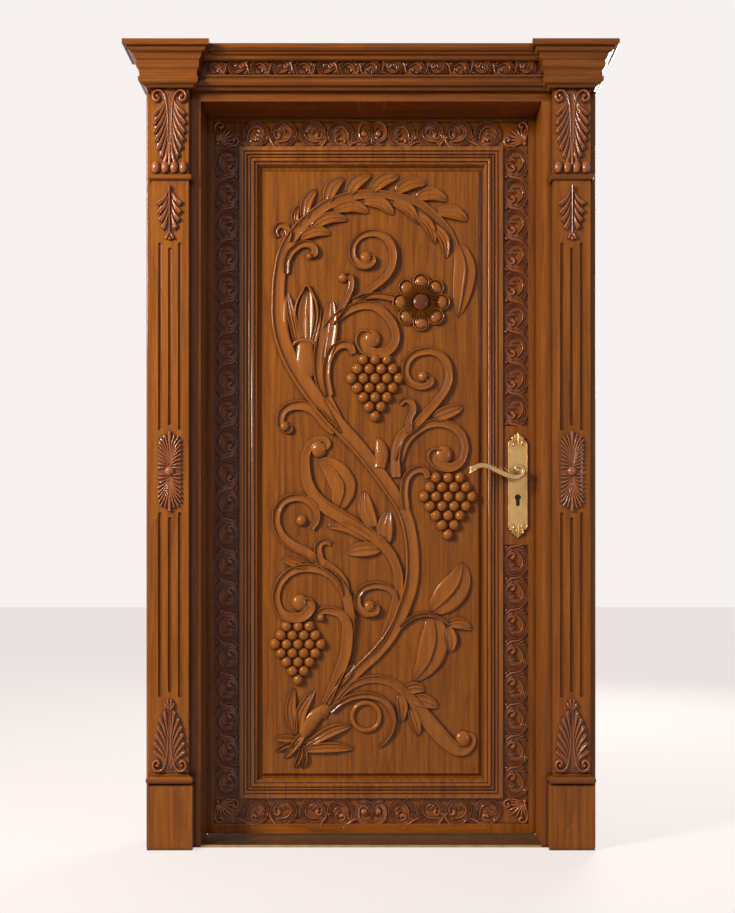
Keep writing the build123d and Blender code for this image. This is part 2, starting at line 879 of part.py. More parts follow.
# The vine, read from left to right and from the bottom of the panel, in millimetres:
# points along each strand, and its half width from the start to the end

main_stem = [(-140, 160), (-87, 237), (-31, 293), (25, 348), (65, 404), (90, 460), (112, 530),
             (116, 600), (108, 680), (90, 738), (56, 794), (17, 849), (-39, 919), (-90, 974),
             (-138, 1030), (-180, 1086), (-216, 1142), (-241, 1197), (-256, 1253), (-260, 1320),
             (-254, 1412), (-240, 1467), (-222, 1501), (-194, 1534), (-160, 1565), (-121, 1593),
             (-81, 1609), (-36, 1620), (8, 1622), (53, 1619), (98, 1609), (138, 1595), (171, 1570),
             (199, 1543), (222, 1512), (239, 1473), (252, 1425), (258, 1384)]
main_stem_halves = (13, 17, 20, 18, 20, 24, 22, 18, 18, 15, 12, 11, 9, 4)

scrolls = [
    ([(-48, 1325), (8, 1362), (48, 1400), (62, 1445), (53, 1484), (25, 1509), (-3, 1512),
      (-37, 1498), (-53, 1462), (-42, 1432), (-14, 1422), (2, 1438)], (9, 11, 11, 9, 7)),
    ([(-75, 960), (-126, 1058), (-143, 1097), (-149, 1153), (-143, 1203), (-126, 1242),
      (-98, 1275), (-60, 1300), (-20, 1311), (12, 1306), (42, 1283), (65, 1247), (68, 1214),
      (53, 1188), (25, 1176), (-3, 1180), (-24, 1198), (-23, 1224)], (13, 14, 13, 12, 12, 9)),
    ([(70, 830), (68, 863), (70, 908), (87, 947), (121, 974), (154, 1008), (188, 1047),
      (212, 1086), (217, 1125), (203, 1162), (177, 1180), (143, 1181), (112, 1167), (96, 1136),
      (103, 1104), (124, 1087), (149, 1084), (167, 1100)], (14, 13, 12, 11, 11, 7)),
    ([(76, 874), (98, 930), (132, 963), (171, 980), (211, 978), (244, 959), (260, 928),
      (259, 891), (242, 865), (211, 857), (184, 870), (175, 892)], (13, 12, 12, 10, 8)),
    ([(-70, 500), (-80, 540), (-105, 568), (-138, 590), (-183, 620), (-228, 645), (-256, 675),
      (-266, 716), (-254, 753), (-222, 772), (-185, 768), (-158, 745), (-152, 712),
      (-168, 685)], (12, 14, 13, 12, 11, 8)),
    ([(-56, 432), (-65, 482), (-87, 530), (-121, 562), (-166, 575), (-211, 571), (-246, 547),
      (-264, 510), (-262, 471), (-244, 444), (-212, 436), (-184, 446), (-172, 474)],
     (14, 13, 12, 11, 8)),
    ([(70, 482), (59, 510), (31, 525), (-3, 525), (-29, 512), (-40, 486), (-30, 460),
      (-6, 449), (14, 462)], (8, 10, 10, 8)),
    ([(-110, 190), (-81, 226), (-42, 252), (3, 264), (53, 256), (92, 230), (126, 192),
      (160, 148), (190, 112), (222, 80), (252, 66), (274, 78), (278, 98)],
     (11, 11, 12, 14, 24, 20, 10)),
    ([(-115, 176), (-81, 202), (-37, 218), (8, 216), (44, 197), (60, 165), (59, 126),
      (42, 94), (20, 74)], (9, 9, 8, 3)),
]

hooks = [
    ([(-235, 1490), (-232, 1515), (-250, 1535), (-268, 1520), (-262, 1502)], (10, 9, 8, 6)),
    ([(-238, 1400), (-234, 1440), (-215, 1468), (-187, 1482), (-162, 1474), (-158, 1455)],
     (9, 11, 10, 9)),
    ([(-112, 1261), (-81, 1306), (-61, 1345), (-55, 1372), (-62, 1392)], (9, 9, 8, 6)),
    ([(-118, 1058), (-126, 1125), (-112, 1178), (-85, 1200), (-60, 1196), (-50, 1175)],
     (12, 12, 12, 9)),
    ([(-100, 960), (-121, 974), (-149, 1008), (-183, 1028), (-216, 1030), (-242, 1018),
      (-254, 992), (-246, 968), (-228, 964)], (15, 15, 14, 12, 9)),
    ([(105, 955), (107, 990), (118, 1019), (112, 1039), (94, 1046), (80, 1034)], (10, 9, 9, 7)),
    ([(96, 744), (92, 794), (102, 833), (124, 850), (149, 848), (159, 828)], (12, 12, 11, 8)),
    ([(-138, 582), (-148, 615), (-146, 640), (-130, 650), (-112, 643)], (13, 12, 10, 7)),
    ([(-126, 198), (-98, 265), (-76, 320), (-67, 376), (-69, 421), (-83, 444), (-110, 455),
      (-138, 454), (-152, 438)], (12, 16, 17, 14, 12, 9)),
    ([(-40, 300), (25, 366), (50, 420), (67, 470), (78, 530), (65, 593), (38, 635), (8, 662),
      (-37, 690), (-81, 718), (-138, 755), (-172, 800), (-184, 860), (-178, 905), (-155, 928),
      (-128, 925)], (6, 12, 14, 13, 16, 18, 20, 16, 12, 8)),
    ([(-56, 380), (-60, 440), (-66, 500)], (10, 14, 12)),
    ([(81, 409), (104, 430), (132, 443), (171, 443), (199, 430), (219, 416)], (6, 7, 6, 4)),
    ([(-53, 1323), (8, 1338), (62, 1330)], (8, 9, 9)),
]

leaves = [
    ([(-205, 1528), (-213, 1560), (-203, 1590)], (6, 12, 0)),
    ([(-188, 1550), (-180, 1600), (-152, 1639)], (8, 17, 0)),
    ([(-125, 1600), (-108, 1642), (-76, 1670)], (8, 20, 0)),
    ([(-65, 1622), (-42, 1655), (3, 1682)], (8, 20, 0)),
    ([(0, 1632), (35, 1662), (81, 1675)], (8, 20, 0)),
    ([(70, 1630), (112, 1652), (159, 1655)], (8, 19, 0)),
    ([(128, 1612), (172, 1622), (216, 1603)], (8, 19, 0)),
    ([(185, 1575), (232, 1570), (272, 1548)], (8, 20, 0)),
    ([(-199, 1500), (-155, 1518), (-110, 1512)], (7, 17, 0)),
    ([(-165, 1530), (-115, 1556), (-62, 1550)], (7, 17, 0)),
    ([(-105, 1578), (-50, 1588), (-4, 1570)], (8, 18, 0)),
    ([(-20, 1603), (28, 1596), (65, 1563)], (8, 18, 0)),
    ([(62, 1600), (105, 1580), (132, 1537)], (8, 16, 0)),
    ([(121, 1570), (160, 1535), (180, 1481)], (8, 15, 0)),
    ([(173, 1535), (205, 1495), (211, 1442)], (8, 15, 0)),
    ([(246, 1480), (262, 1420), (255, 1345), (242, 1275)], (12, 32, 26, 0)),
    ([(171, 995), (215, 1012), (261, 1030)], (8, 20, 0)),
    ([(25, 857), (30, 900), (17, 941)], (20, 22, 0)),
    ([(-95, 740), (-78, 800), (-105, 850), (-148, 880)], (14, 38, 26, 6)),
    ([(5, 690), (-15, 740), (-18, 791)], (14, 24, 0)),
    ([(42, 643), (38, 690), (51, 738)], (10, 24, 0)),
    ([(-5, 655), (-70, 690), (-126, 691)], (10, 16, 0)),
    ([(25, 630), (-25, 628), (-73, 618)], (8, 22, 0)),
    ([(-177, 580), (-215, 590), (-254, 602)], (8, 13, 0)),
    ([(166, 452), (212, 492), (246, 540), (256, 596)], (6, 44, 38, 0)),
    ([(171, 443), (178, 380), (158, 310), (115, 254)], (6, 42, 40, 0)),
    ([(219, 418), (250, 420), (284, 402)], (6, 16, 0)),
    ([(213, 409), (222, 375), (222, 337)], (10, 20, 0)),
    ([(93, 234), (125, 240), (154, 235)], (6, 17, 0)),
    ([(112, 208), (152, 203), (191, 185)], (6, 20, 0)),
    ([(80, 222), (88, 185), (84, 142)], (6, 16, 0)),
    ([(110, 187), (124, 145), (132, 103)], (6, 16, 0)),
    ([(-98, 241), (-68, 282), (-45, 312)], (8, 13, 0)),
    ([(-195, 100), (-165, 150), (-120, 188)], (8, 24, 14)),
    ([(-190, 110), (-215, 78), (-244, 40)], (10, 13, 0)),
    ([(-213, 111), (-225, 180), (-216, 241)], (6, 16, 0)),
    ([(-205, 115), (-195, 175), (-157, 236)], (6, 17, 0)),
    ([(-180, 80), (-110, 120), (-53, 134)], (8, 16, 0)),
    ([(-190, 68), (-115, 74), (-45, 70)], (8, 15, 0)),
    ([(-205, 96), (-240, 98), (-272, 96)], (6, 10, 0)),
    ([(-208, 88), (-242, 78), (-267, 60)], (6, 8, 0)),
    ([(-195, 72), (-202, 42), (-216, 14)], (6, 8, 0)),
    ([(-188, 70), (-185, 40), (-191, 12)], (6, 8, 0)),
    ([(-205, 1200), (-222, 1280), (-236, 1350)], (8, 14, 0)),
    ([(-183, 1200), (-182, 1290), (-176, 1362)], (12, 24, 0)),
    ([(-165, 1200), (-152, 1260), (-148, 1322)], (8, 12, 0)),
    ([(-175, 1100), (-184, 1160), (-184, 1210)], (6, 22, 32)),
    ([(-138, 1120), (-118, 1240), (-112, 1322)], (8, 26, 8)),
]

scroll_eyes = [(-14, 1445, 17), (3, 1217, 24), (146, 1112, 14), (204, 892, 24), (-194, 708, 15),
               (-200, 478, 22), (-4, 468, 16), (258, 96, 22), (-172, 1448, 9), (-242, 972, 14),
               (-146, 908, 22), (-140, 436, 11), (-78, 1388, 13)]

ring_loop = (-14, 159, 39, 8)
flower_place = (140, 1320)
grape_places = [(12, 1159, 33, 26.5), (216, 828, 33.5, 26.5), (-204, 412, 32, 25)]


def on_panel(x, z):
    """A point of the drawing, spread over the panel's field."""
    return (x * 2 * field_half / drawing_width,
            field_bottom + z * (field_top - field_bottom) / drawing_height)


def vine_carving():
    """The vine that is carved over the panel: stems, scrolls, leaves, flower and grapes."""
    ground = field_face
    forms = []

    def raised(points, halves, rise):
        placed = [on_panel(x, z) for x, z in points]
        forms.append(ridge(placed, halves, rise, ground))

    raised(main_stem, main_stem_halves, vine_rise)
    for points, halves in scrolls + hooks:
        raised(points, halves, vine_rise)
    for points, halves in leaves:
        raised(points, halves, vine_rise - 4)
    for x, z, radius in scroll_eyes:
        forms.append(boss(*on_panel(x, z), radius, vine_rise, ground))
    for x, z, pitch, drop in grape_places:
        for place, height in grape_bunch(*on_panel(x, z), pitch, drop):
            forms.append(boss(place, height, min(grape_radius, drop * 0.56), vine_rise, ground))
    forms += ring(ring_loop, ground)
    forms += flower(ground)
    return forms[0].fuse(*forms[1:])


def ring(place, ground):
    """The closed loop of the lowest tendril, in two halves."""
    x, z, radius, half = place
    x, z = on_panel(x, z)
    arcs = []
    for sign in (-1, 1):
        points = []
        for index in range(5):
            angle = sign * math.pi * index / 4
            points.append((x + radius * math.cos(angle), z + radius * math.sin(angle)))
        arcs.append(ridge(points, (half, half), vine_rise - 5, ground, spans=7))
    return arcs


def flower(ground):
    """Eight petals round a domed eye."""
    x, z = on_panel(*flower_place)
    petals = []
    for index in range(8):
        angle = math.pi * index / 4
        near, far = 24, 82
        start = (x + near * math.cos(angle), z + near * math.sin(angle))
        end = (x + far * math.cos(angle), z + far * math.sin(angle))
        petals.append(ridge([start, end], (7, 16, 22, 19, 8), vine_rise - 3, ground, spans=4))
    return petals + [boss(x, z, 28, vine_rise - 1, ground, sides=10)]


# The carved border of the leaf, the frieze and the ornaments of the pilasters



def turned(place, way, points):
    """Points given as (along, across) set at a place, with along pointing the given way."""
    (x, z), (dx, dz) = place, way
    return [(x + along * dx - across * dz, z + along * dz + across * dx)
            for along, across in points]


def scroll_unit(place, way, size, ground, rise):
    """One C-scroll with a leaf beyond it, for a band of repeated scrolls."""
    radius, half = 0.25 * size, 0.09 * size
    curl = []
    for index in range(5):
        angle = math.radians(-50 + index * 68)
        curl.append((radius * math.cos(angle) - 0.1 * size, radius * math.sin(angle)))
    spray = [(0.27 * size, -0.3 * size), (0.42 * size, 0), (0.37 * size, 0.3 * size)]
    return [ridge(turned(place, way, curl), (half, half, half * 0.7), rise, ground, spans=3),
            ridge(turned(place, way, spray), (1, half * 0.8, 1), rise, ground, spans=2)]


def scroll_band(start, end, unit, size, ground, rise):
    """Scrolls of one size along a straight band, facing away from its middle."""
    (x0, z0), (x1, z1) = start, end
    length = math.hypot(x1 - x0, z1 - z0)
    count = max(1, round(length / unit))
    way = ((x1 - x0) / length, (z1 - z0) / length)
    forms = []
    for index in range(count):
        share = (index + 0.5) / count
        place = (x0 + (x1 - x0) * share, z0 + (z1 - z0) * share)
        sign = -1 if share < 0.5 else 1
        forms += scroll_unit(place, (way[0] * sign, way[1] * sign), size, ground, rise)
    return forms


def border_side(spans_of_height):
    """The carved band of one stile, on the right."""
    middle = (border_inner + border_outer) / 2
    forms = []
    for low, high in spans_of_height:
        forms += scroll_band((middle, low), (middle, high), border_unit, border_size, border_floor,
                             border_rise)
    for z in (border_low + border_width / 2, border_high - border_width / 2):
        forms.append(boss(middle, z, border_width * 0.36, border_rise, border_floor, sides=8))
    return Compound(forms)


def border_left():
    return mirrored(border_side([(border_low + border_width, border_high - border_width)]))


def border_right():
    return border_side([(border_low + border_width, pad_low - 4),
                        (pad_high + 4, border_high - border_width)])


def border_across(z):
    """The carved band of one rail."""
    return Compound(scroll_band((-border_inner, z), (border_inner, z), border_unit, border_size,
                                border_floor, border_rise))


def frieze_carving():
    """The leafy scrolls of the cornice, between the capitals."""
    half = pilaster_inner - capital_frieze_overhang
    z = casing_top - cornice_frieze_drop
    return Compound(scroll_band((-half, z), (half, z), frieze_unit, frieze_size,
                                casing_face - cornice_frieze_projection, frieze_rise))


def acanthus(z_foot, z_tip, width):
    """A leaf with curled feet, on the right pilaster, drawn from its foot to its tip."""
    x, ground, rise = pilaster_middle, pilaster_face, ornament_rise
    length = z_tip - z_foot
    half = width / 2
    forms = [ridge([(x, z_foot), (x, z_foot + length * 0.5), (x, z_tip)], (10, 16, 13, 1), rise,
                   ground, spans=4)]
    for side in (-1, 1):
        for foot, knee, tip, lobe in ((0.02, 0.3, 0.52, 11), (0.3, 0.55, 0.78, 9)):
            points = [(x + side * 6, z_foot + length * foot),
                      (x + side * half * 0.6, z_foot + length * knee),
                      (x + side * half * (1.1 - tip * 0.7), z_foot + length * tip)]
            forms.append(ridge(points, (5, lobe, 1), rise - 1, ground, spans=2))
        eye = 13 if length > 0 else -13
        forms.append(boss(x + side * (half - 13), z_foot + eye, 13, rise, ground))
    return forms[0].fuse(*forms[1:])


def patera():
    """The long rosette between the flutes: eight petals round a button."""
    x, z = pilaster_middle, patera_middle
    half_height = patera_room / 2 - flute_width / 2
    forms = []
    for index in range(8):
        angle = math.pi * index / 4
        reach = Vector(31 * math.sin(angle), half_height * math.cos(angle))
        if index % 2:
            reach *= 0.8
        points = [(x + reach.X * 0.15, z + reach.Y * 0.1), (x + reach.X, z + reach.Y)]
        forms.append(ridge(points, (4, 10, 1), ornament_rise - 2, pilaster_face, spans=2))
    forms.append(boss(x, z, 15, ornament_rise, pilaster_face, sides=8))
    return forms[0].fuse(*forms[1:])


def leaf_drop():
    """The small pendant leaf over the upper flutes."""
    x, foot, tip = pilaster_middle, shaft_top - 17, upper_flute_end + 9
    length = tip - foot
    forms = [ridge([(x, foot), (x, tip)], (8, 14, 12, 1), ornament_rise - 2, pilaster_face, spans=4)]
    for side in (-1, 1):
        points = [(x + side * 4, foot + length * 0.1), (x + side * 24, foot + length * 0.3),
                  (x + side * 26, foot + length * 0.66)]
        forms.append(ridge(points, (5, 9, 1), ornament_rise - 3, pilaster_face, spans=3))
    return forms[0].fuse(*forms[1:])


def bead_row():
    """Four beads over the necking."""
    pitch = pilaster_width * 0.94 / 4
    z = upper_block_bottom + 18
    return [boss(pilaster_middle + (index - 1.5) * pitch, z, pitch * 0.48, ornament_rise,
                 pilaster_face) for index in range(4)]


def pair(*forms):
    """Forms of the right pilaster together with their copies on the left."""
    return Compound([*forms, *(mirrored(form) for form in forms)])


pieces = {
    "jamb_lock_side": jamb_lock_side(),
    "jamb_hinge_side": jamb_hinge_side(),
    "head_jamb": head_jamb(),
    "weather_seal": weather_seal(),
    "sill": sill(),
    "casing_right": casing_side(),
    "casing_left": mirrored(casing_side()),
    "casing_head": casing_head(),
    "rear_casing_right": rear_casing_side(),
    "rear_casing_left": mirrored(rear_casing_side()),
    "rear_casing_head": rear_casing_head(),
    "plinth_right": plinth(),
    "plinth_left": mirrored(plinth()),
    "base_mouldings": pair(base_moulding()),
    "pilaster_right": pilaster_shaft(),
    "pilaster_left": mirrored(pilaster_shaft()),
    "neckings": pair(necking()),
    "upper_blocks": pair(upper_block()),
    "capital_right": capital(),
    "capital_left": mirrored(capital()),
    "cornice": cornice(),
    "frieze_carving": frieze_carving(),
    "base_leaves": pair(acanthus(foot_top + 1, lower_flute_start - 2, 88)),
    "top_leaves": pair(acanthus(capital_bottom - 2, upper_block_bottom + 36, 88)),
    "paterae": pair(patera()),
    "leaf_drops": pair(leaf_drop()),
    "bead_rows": pair(*bead_row()),
    "strike_plate": strike_plate(),
    "hinge_plates_frame": hinge_plates_frame(),
    "stile_hinge": stile_hinge(),
    "stile_lock": stile_lock(),
    "rail_top": rail(rail_top_bottom, leaf_top),
    "rail_bottom": rail(leaf_bottom, rail_bottom_top),
    "panel": panel(),
    "front_moulding": front_moulding(),
    "rear_moulding": rear_moulding(),
    "border_left": border_left(),
    "border_right": border_right(),
    "border_top": border_across(border_high - border_width / 2),
    "border_bottom": border_across(border_low + border_width / 2),
    "vine_carving": vine_carving(),
    "hinge_plates_leaf": hinge_plates_leaf(),
    "lock_case": lock_case(),
    "forend": forend(),
    "lock_cylinder": lock_cylinder(),
    "back_plate_front": back_plate(plate_face, leaf_face),
    "back_plate_rear": back_plate(leaf_back, rear_plate_face),
    "lever_front": lever(True),
    "lever_rear": lever(False),
    "spindle": spindle(),
    "follower": follower(),
    "latch_bolt": latch_bolt(),
    "dead_bolt": dead_bolt(),
    "cylinder_plug": cylinder_plug(),
}

os.makedirs("parts", exist_ok=True)
for name, piece in pieces.items():
    export_step(piece, f"parts/{name}.step")
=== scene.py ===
import math

import bpy
from mathutils import Matrix, Vector


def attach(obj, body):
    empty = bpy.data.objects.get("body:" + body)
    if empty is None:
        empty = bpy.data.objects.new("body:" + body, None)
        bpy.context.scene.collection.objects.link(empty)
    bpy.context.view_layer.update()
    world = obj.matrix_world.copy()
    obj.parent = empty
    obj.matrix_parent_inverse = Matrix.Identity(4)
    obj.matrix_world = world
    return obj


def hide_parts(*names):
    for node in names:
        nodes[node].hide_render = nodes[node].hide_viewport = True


# The carved door and its frame. Lengths are in metres: X to the right, Y into the wall, Z up.

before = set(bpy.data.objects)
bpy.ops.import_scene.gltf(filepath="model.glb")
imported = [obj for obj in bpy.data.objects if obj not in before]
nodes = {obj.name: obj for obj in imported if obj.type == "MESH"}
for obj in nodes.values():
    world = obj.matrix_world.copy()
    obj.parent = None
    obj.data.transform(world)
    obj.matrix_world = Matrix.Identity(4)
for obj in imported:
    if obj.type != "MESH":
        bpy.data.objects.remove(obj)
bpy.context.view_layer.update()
bpy.ops.object.select_all(action="DESELECT")

# Materials

def new_group(name, inputs, outputs):
    """A shader node group with named inputs (name, kind, default) and outputs (name, kind)."""
    group = bpy.data.node_groups.new(name, "ShaderNodeTree")
    for label, kind, value in inputs:
        socket = group.interface.new_socket(name=label, in_out="INPUT", socket_type=kind)
        socket.default_value = value
    for label, kind in outputs:
        group.interface.new_socket(name=label, in_out="OUTPUT", socket_type=kind)
    return group, group.nodes.new("NodeGroupInput"), group.nodes.new("NodeGroupOutput")


def add(tree, kind, **settings):
    """A node in the tree, with its properties set by name."""
    node = tree.nodes.new(kind)
    for key, value in settings.items():
        setattr(node, key, value)
    return node


def math_node(tree, operation, first, second=None, clamp=False):
    """A math node on sockets or plain numbers."""
    node = add(tree, "ShaderNodeMath", operation=operation, use_clamp=clamp)
    for index, value in enumerate((first, second)):
        if value is None:
            continue
        if isinstance(value, (int, float)):
            node.inputs[index].default_value = value
        else:
            tree.links.new(value, node.inputs[index])
    return node.outputs[0]


def mix_colours(tree, factor, first, second):
    """A colour mix of sockets or plain colours."""
    node = add(tree, "ShaderNodeMix", data_type="RGBA", clamp_factor=True)
    for index, value in ((0, factor), (6, first), (7, second)):
        if isinstance(value, (int, float, tuple)):
            node.inputs[index].default_value = value
        else:
            tree.links.new(value, node.inputs[index])
    return node.outputs[2]


def map_range(tree, value, low, high, to_low=0.0, to_high=1.0):
    """A clamped linear map from one range of a socket to another."""
    node = tree.nodes.new("ShaderNodeMapRange")
    tree.links.new(value, node.inputs["Value"])
    for label, number in (("From Min", low), ("From Max", high), ("To Min", to_low),
                          ("To Max", to_high)):
        if isinstance(number, (int, float)):
            node.inputs[label].default_value = number
        else:
            tree.links.new(number, node.inputs[label])
    return node.outputs["Result"]


def noise(tree, vector, scale, detail=2.0, roughness=0.5, distortion=0.0):
    """Soft random patches on the vector given."""
    node = tree.nodes.new("ShaderNodeTexNoise")
    for label, value in (("Scale", scale), ("Detail", detail), ("Roughness", roughness),
                         ("Distortion", distortion)):
        node.inputs[label].default_value = value
    tree.links.new(vector, node.inputs["Vector"])
    return node.outputs["Fac"]


def wood_grain_group():
    """Streaks, growth figure and pores that run along the Z axis of the vector given."""
    tree, start, end = new_group(
        "wood_grain",
        [("Vector", "NodeSocketVector", (0, 0, 0)),
         ("Light", "NodeSocketColor", (0.5, 0.2, 0.05, 1)),
         ("Dark", "NodeSocketColor", (0.2, 0.07, 0.02, 1)),
         ("Streaks", "NodeSocketFloat", 1.0)],
        [("Colour", "NodeSocketColor"), ("Height", "NodeSocketFloat")])
    stretch = add(tree, "ShaderNodeMapping")
    stretch.inputs["Scale"].default_value = (1, 1, 0.045)
    tree.links.new(start.outputs["Vector"], stretch.inputs["Vector"])
    along = stretch.outputs["Vector"]
    figure = noise(tree, along, 9, 3, 0.55, 0.6)
    rings = math_node(tree, "FRACT", math_node(tree, "MULTIPLY", figure, 9.0))
    rings = math_node(tree, "POWER", rings, 2.2)
    streaks = noise(tree, along, 85, 4, 0.7)
    pores = noise(tree, along, 420, 2, 0.6)
    tone = math_node(tree, "MULTIPLY", rings, 0.30)
    tone = math_node(tree, "ADD", tone, map_range(tree, streaks, 0.36, 0.72, 0.0, 0.75))
    tone = math_node(tree, "MULTIPLY", tone, start.outputs["Streaks"], clamp=True)
    colour = mix_colours(tree, tone, start.outputs["Light"], start.outputs["Dark"])
    pore_mask = map_range(tree, pores, 0.60, 0.70, 0.0, 0.55)
    pore_mask = math_node(tree, "MULTIPLY", pore_mask, start.outputs["Streaks"])
    colour = mix_colours(tree, pore_mask, colour, start.outputs["Dark"])
    tree.links.new(colour, end.inputs["Colour"])
    height = math_node(tree, "SUBTRACT", 1.0, math_node(tree, "MULTIPLY", pore_mask, 0.6))
    tree.links.new(height, end.inputs["Height"])
    return tree


def depth_shade_group():
    """Painted shade for the recesses: 1 at the deep level of Y and 0 at the high one."""
    tree, start, end = new_group(
        "depth_shade",
        [("Vector", "NodeSocketVector", (0, 0, 0)),
         ("Deep", "NodeSocketFloat", 0.084), ("High", "NodeSocketFloat", 0.072)],
        [("Shade", "NodeSocketFloat")])
    parts = add(tree, "ShaderNodeSeparateXYZ")
    tree.links.new(start.outputs["Vector"], parts.inputs[0])
    shade = map_range(tree, parts.outputs["Y"], start.outputs["High"], start.outputs["Deep"])
    patches = noise(tree, start.outputs["Vector"], 60, 2)
    shade = math_node(tree, "MULTIPLY", shade, map_range(tree, patches, 0.3, 0.7, 0.8, 1.0))
    tree.links.new(shade, end.inputs["Shade"])
    return tree


def crevice_group():
    """Painted shade in the corners and grooves, from ambient occlusion: 1 where a corner is tight.
    """
    tree, start, end = new_group(
        "crevice_shade", [("Reach", "NodeSocketFloat", 0.012)], [("Shade", "NodeSocketFloat")])
    corner = add(tree, "ShaderNodeAmbientOcclusion", samples=6)
    tree.links.new(start.outputs["Reach"], corner.inputs["Distance"])
    shade = map_range(tree, corner.outputs["AO"], 0.88, 0.42)
    tree.links.new(shade, end.inputs["Shade"])
    return tree


wood_grain = wood_grain_group()
depth_shade = depth_shade_group()
crevice_shade = crevice_group()


def start_material(name):
    """A new material, its node tree, its main shader and the object's own coordinates."""
    material = bpy.data.materials.new(name)
    material.use_nodes = True
    tree = material.node_tree
    shader = tree.nodes["Principled BSDF"]
    place = add(tree, "ShaderNodeTexCoord").outputs["Object"]
    return material, tree, shader, place


def varnished(name, light, dark, grain_turn=(0, 0, 0), streaks=1.0, recess=None, corner=0.014,
              gloss=1.25):
    """Varnished wood with painted shade. grain_turn lays the grain along X; recess gives a deep
    and a high level of Y, the painted shade's colour and how much of it; corner is how far the
    painted shade reaches from a corner."""
    material, tree, shader, place = start_material(name)
    turn = add(tree, "ShaderNodeMapping")
    turn.inputs["Rotation"].default_value = grain_turn
    tree.links.new(place, turn.inputs["Vector"])
    grain = add(tree, "ShaderNodeGroup", node_tree=wood_grain)
    grain.inputs["Light"].default_value = (*light, 1)
    grain.inputs["Dark"].default_value = (*dark, 1)
    grain.inputs["Streaks"].default_value = streaks
    tree.links.new(turn.outputs["Vector"], grain.inputs["Vector"])
    colour = grain.outputs["Colour"]
    # Painted shade: the colour is darkened towards the deep level of Y, round the carving.
    if recess:
        deep, high, recess_shade_colour, amount = recess
        shade = add(tree, "ShaderNodeGroup", node_tree=depth_shade)
        shade.inputs["Deep"].default_value = deep
        shade.inputs["High"].default_value = high
        tree.links.new(place, shade.inputs["Vector"])
        painted_shade_mask = math_node(tree, "MULTIPLY", shade.outputs["Shade"], amount)
        colour = mix_colours(tree, painted_shade_mask, colour, (*recess_shade_colour, 1))
    # Painted shade: tight corners and grooves are darkened where ambient occlusion finds them.
    corners = add(tree, "ShaderNodeGroup", node_tree=crevice_shade)
    corners.inputs["Reach"].default_value = corner
    painted_shade_mask = math_node(tree, "MULTIPLY", corners.outputs["Shade"], 0.85)
    colour = mix_colours(tree, painted_shade_mask, colour, (*corner_shade_colour, 1))
    tree.links.new(colour, shader.inputs["Base Color"])
    bump = add(tree, "ShaderNodeBump")
    bump.inputs["Strength"].default_value = 0.12
    bump.inputs["Distance"].default_value = 0.0006
    tree.links.new(grain.outputs["Height"], bump.inputs["Height"])
    tree.links.new(bump.outputs["Normal"], shader.inputs["Normal"])
    shader.inputs["Roughness"].default_value = 0.32
    shader.inputs["IOR"].default_value = 1.5
    shader.inputs["Specular IOR Level"].default_value = 0.06
    shader.inputs["Coat Weight"].default_value = 1.0
    shader.inputs["Coat Roughness"].default_value = 0.07
    shader.inputs["Coat IOR"].default_value = gloss
    return material


def metal(name, colour, worn, roughness, brushed_scale):
    """Brushed or cast metal with a slow change of tone and fine scratches."""
    material, tree, shader, place = start_material(name)
    stretch = add(tree, "ShaderNodeMapping")
    stretch.inputs["Scale"].default_value = (1, 1, 0.12)
    tree.links.new(place, stretch.inputs["Vector"])
    scratches = noise(tree, stretch.outputs["Vector"], brushed_scale, 3, 0.7)
    patches = noise(tree, place, 30, 3)
    colour_out = mix_colours(tree, map_range(tree, patches, 0.35, 0.75), (*colour, 1), (*worn, 1))
    tree.links.new(colour_out, shader.inputs["Base Color"])
    rough = map_range(tree, scratches, 0.3, 0.7, roughness * 0.8, roughness * 1.3)
    tree.links.new(rough, shader.inputs["Roughness"])
    bump = add(tree, "ShaderNodeBump")
    bump.inputs["Strength"].default_value = 0.08
    bump.inputs["Distance"].default_value = 0.0004
    tree.links.new(scratches, bump.inputs["Height"])
    tree.links.new(bump.outputs["Normal"], shader.inputs["Normal"])
    shader.inputs["Metallic"].default_value = 1.0
    return material


def rubber(name, colour):
    """Dull rubber with fine lighter specks."""
    material, tree, shader, place = start_material(name)
    specks = noise(tree, place, 900, 2)
    shade = mix_colours(tree, map_range(tree, specks, 0.4, 0.7), (*colour, 1),
                        (colour[0] * 1.8, colour[1] * 1.8, colour[2] * 1.8, 1))
    tree.links.new(shade, shader.inputs["Base Color"])
    shader.inputs["Roughness"].default_value = 0.75
    return material


along_x = (0, math.pi / 2, 0)
honey, honey_dark = (0.33, 0.102, 0.007), (0.135, 0.035, 0.003)
panel_light, panel_dark = (0.30, 0.092, 0.005), (0.11, 0.028, 0.002)
brown, brown_dark = (0.26, 0.076, 0.006), (0.11, 0.028, 0.002)
reddish, reddish_dark = (0.34, 0.098, 0.018), (0.16, 0.038, 0.008)
# Colour of the painted shade in the recesses round the carving.
recess_shade_colour = (0.035, 0.008, 0.002)
# Colour of the painted shade in tight corners and grooves.
corner_shade_colour = (0.030, 0.006, 0.002)

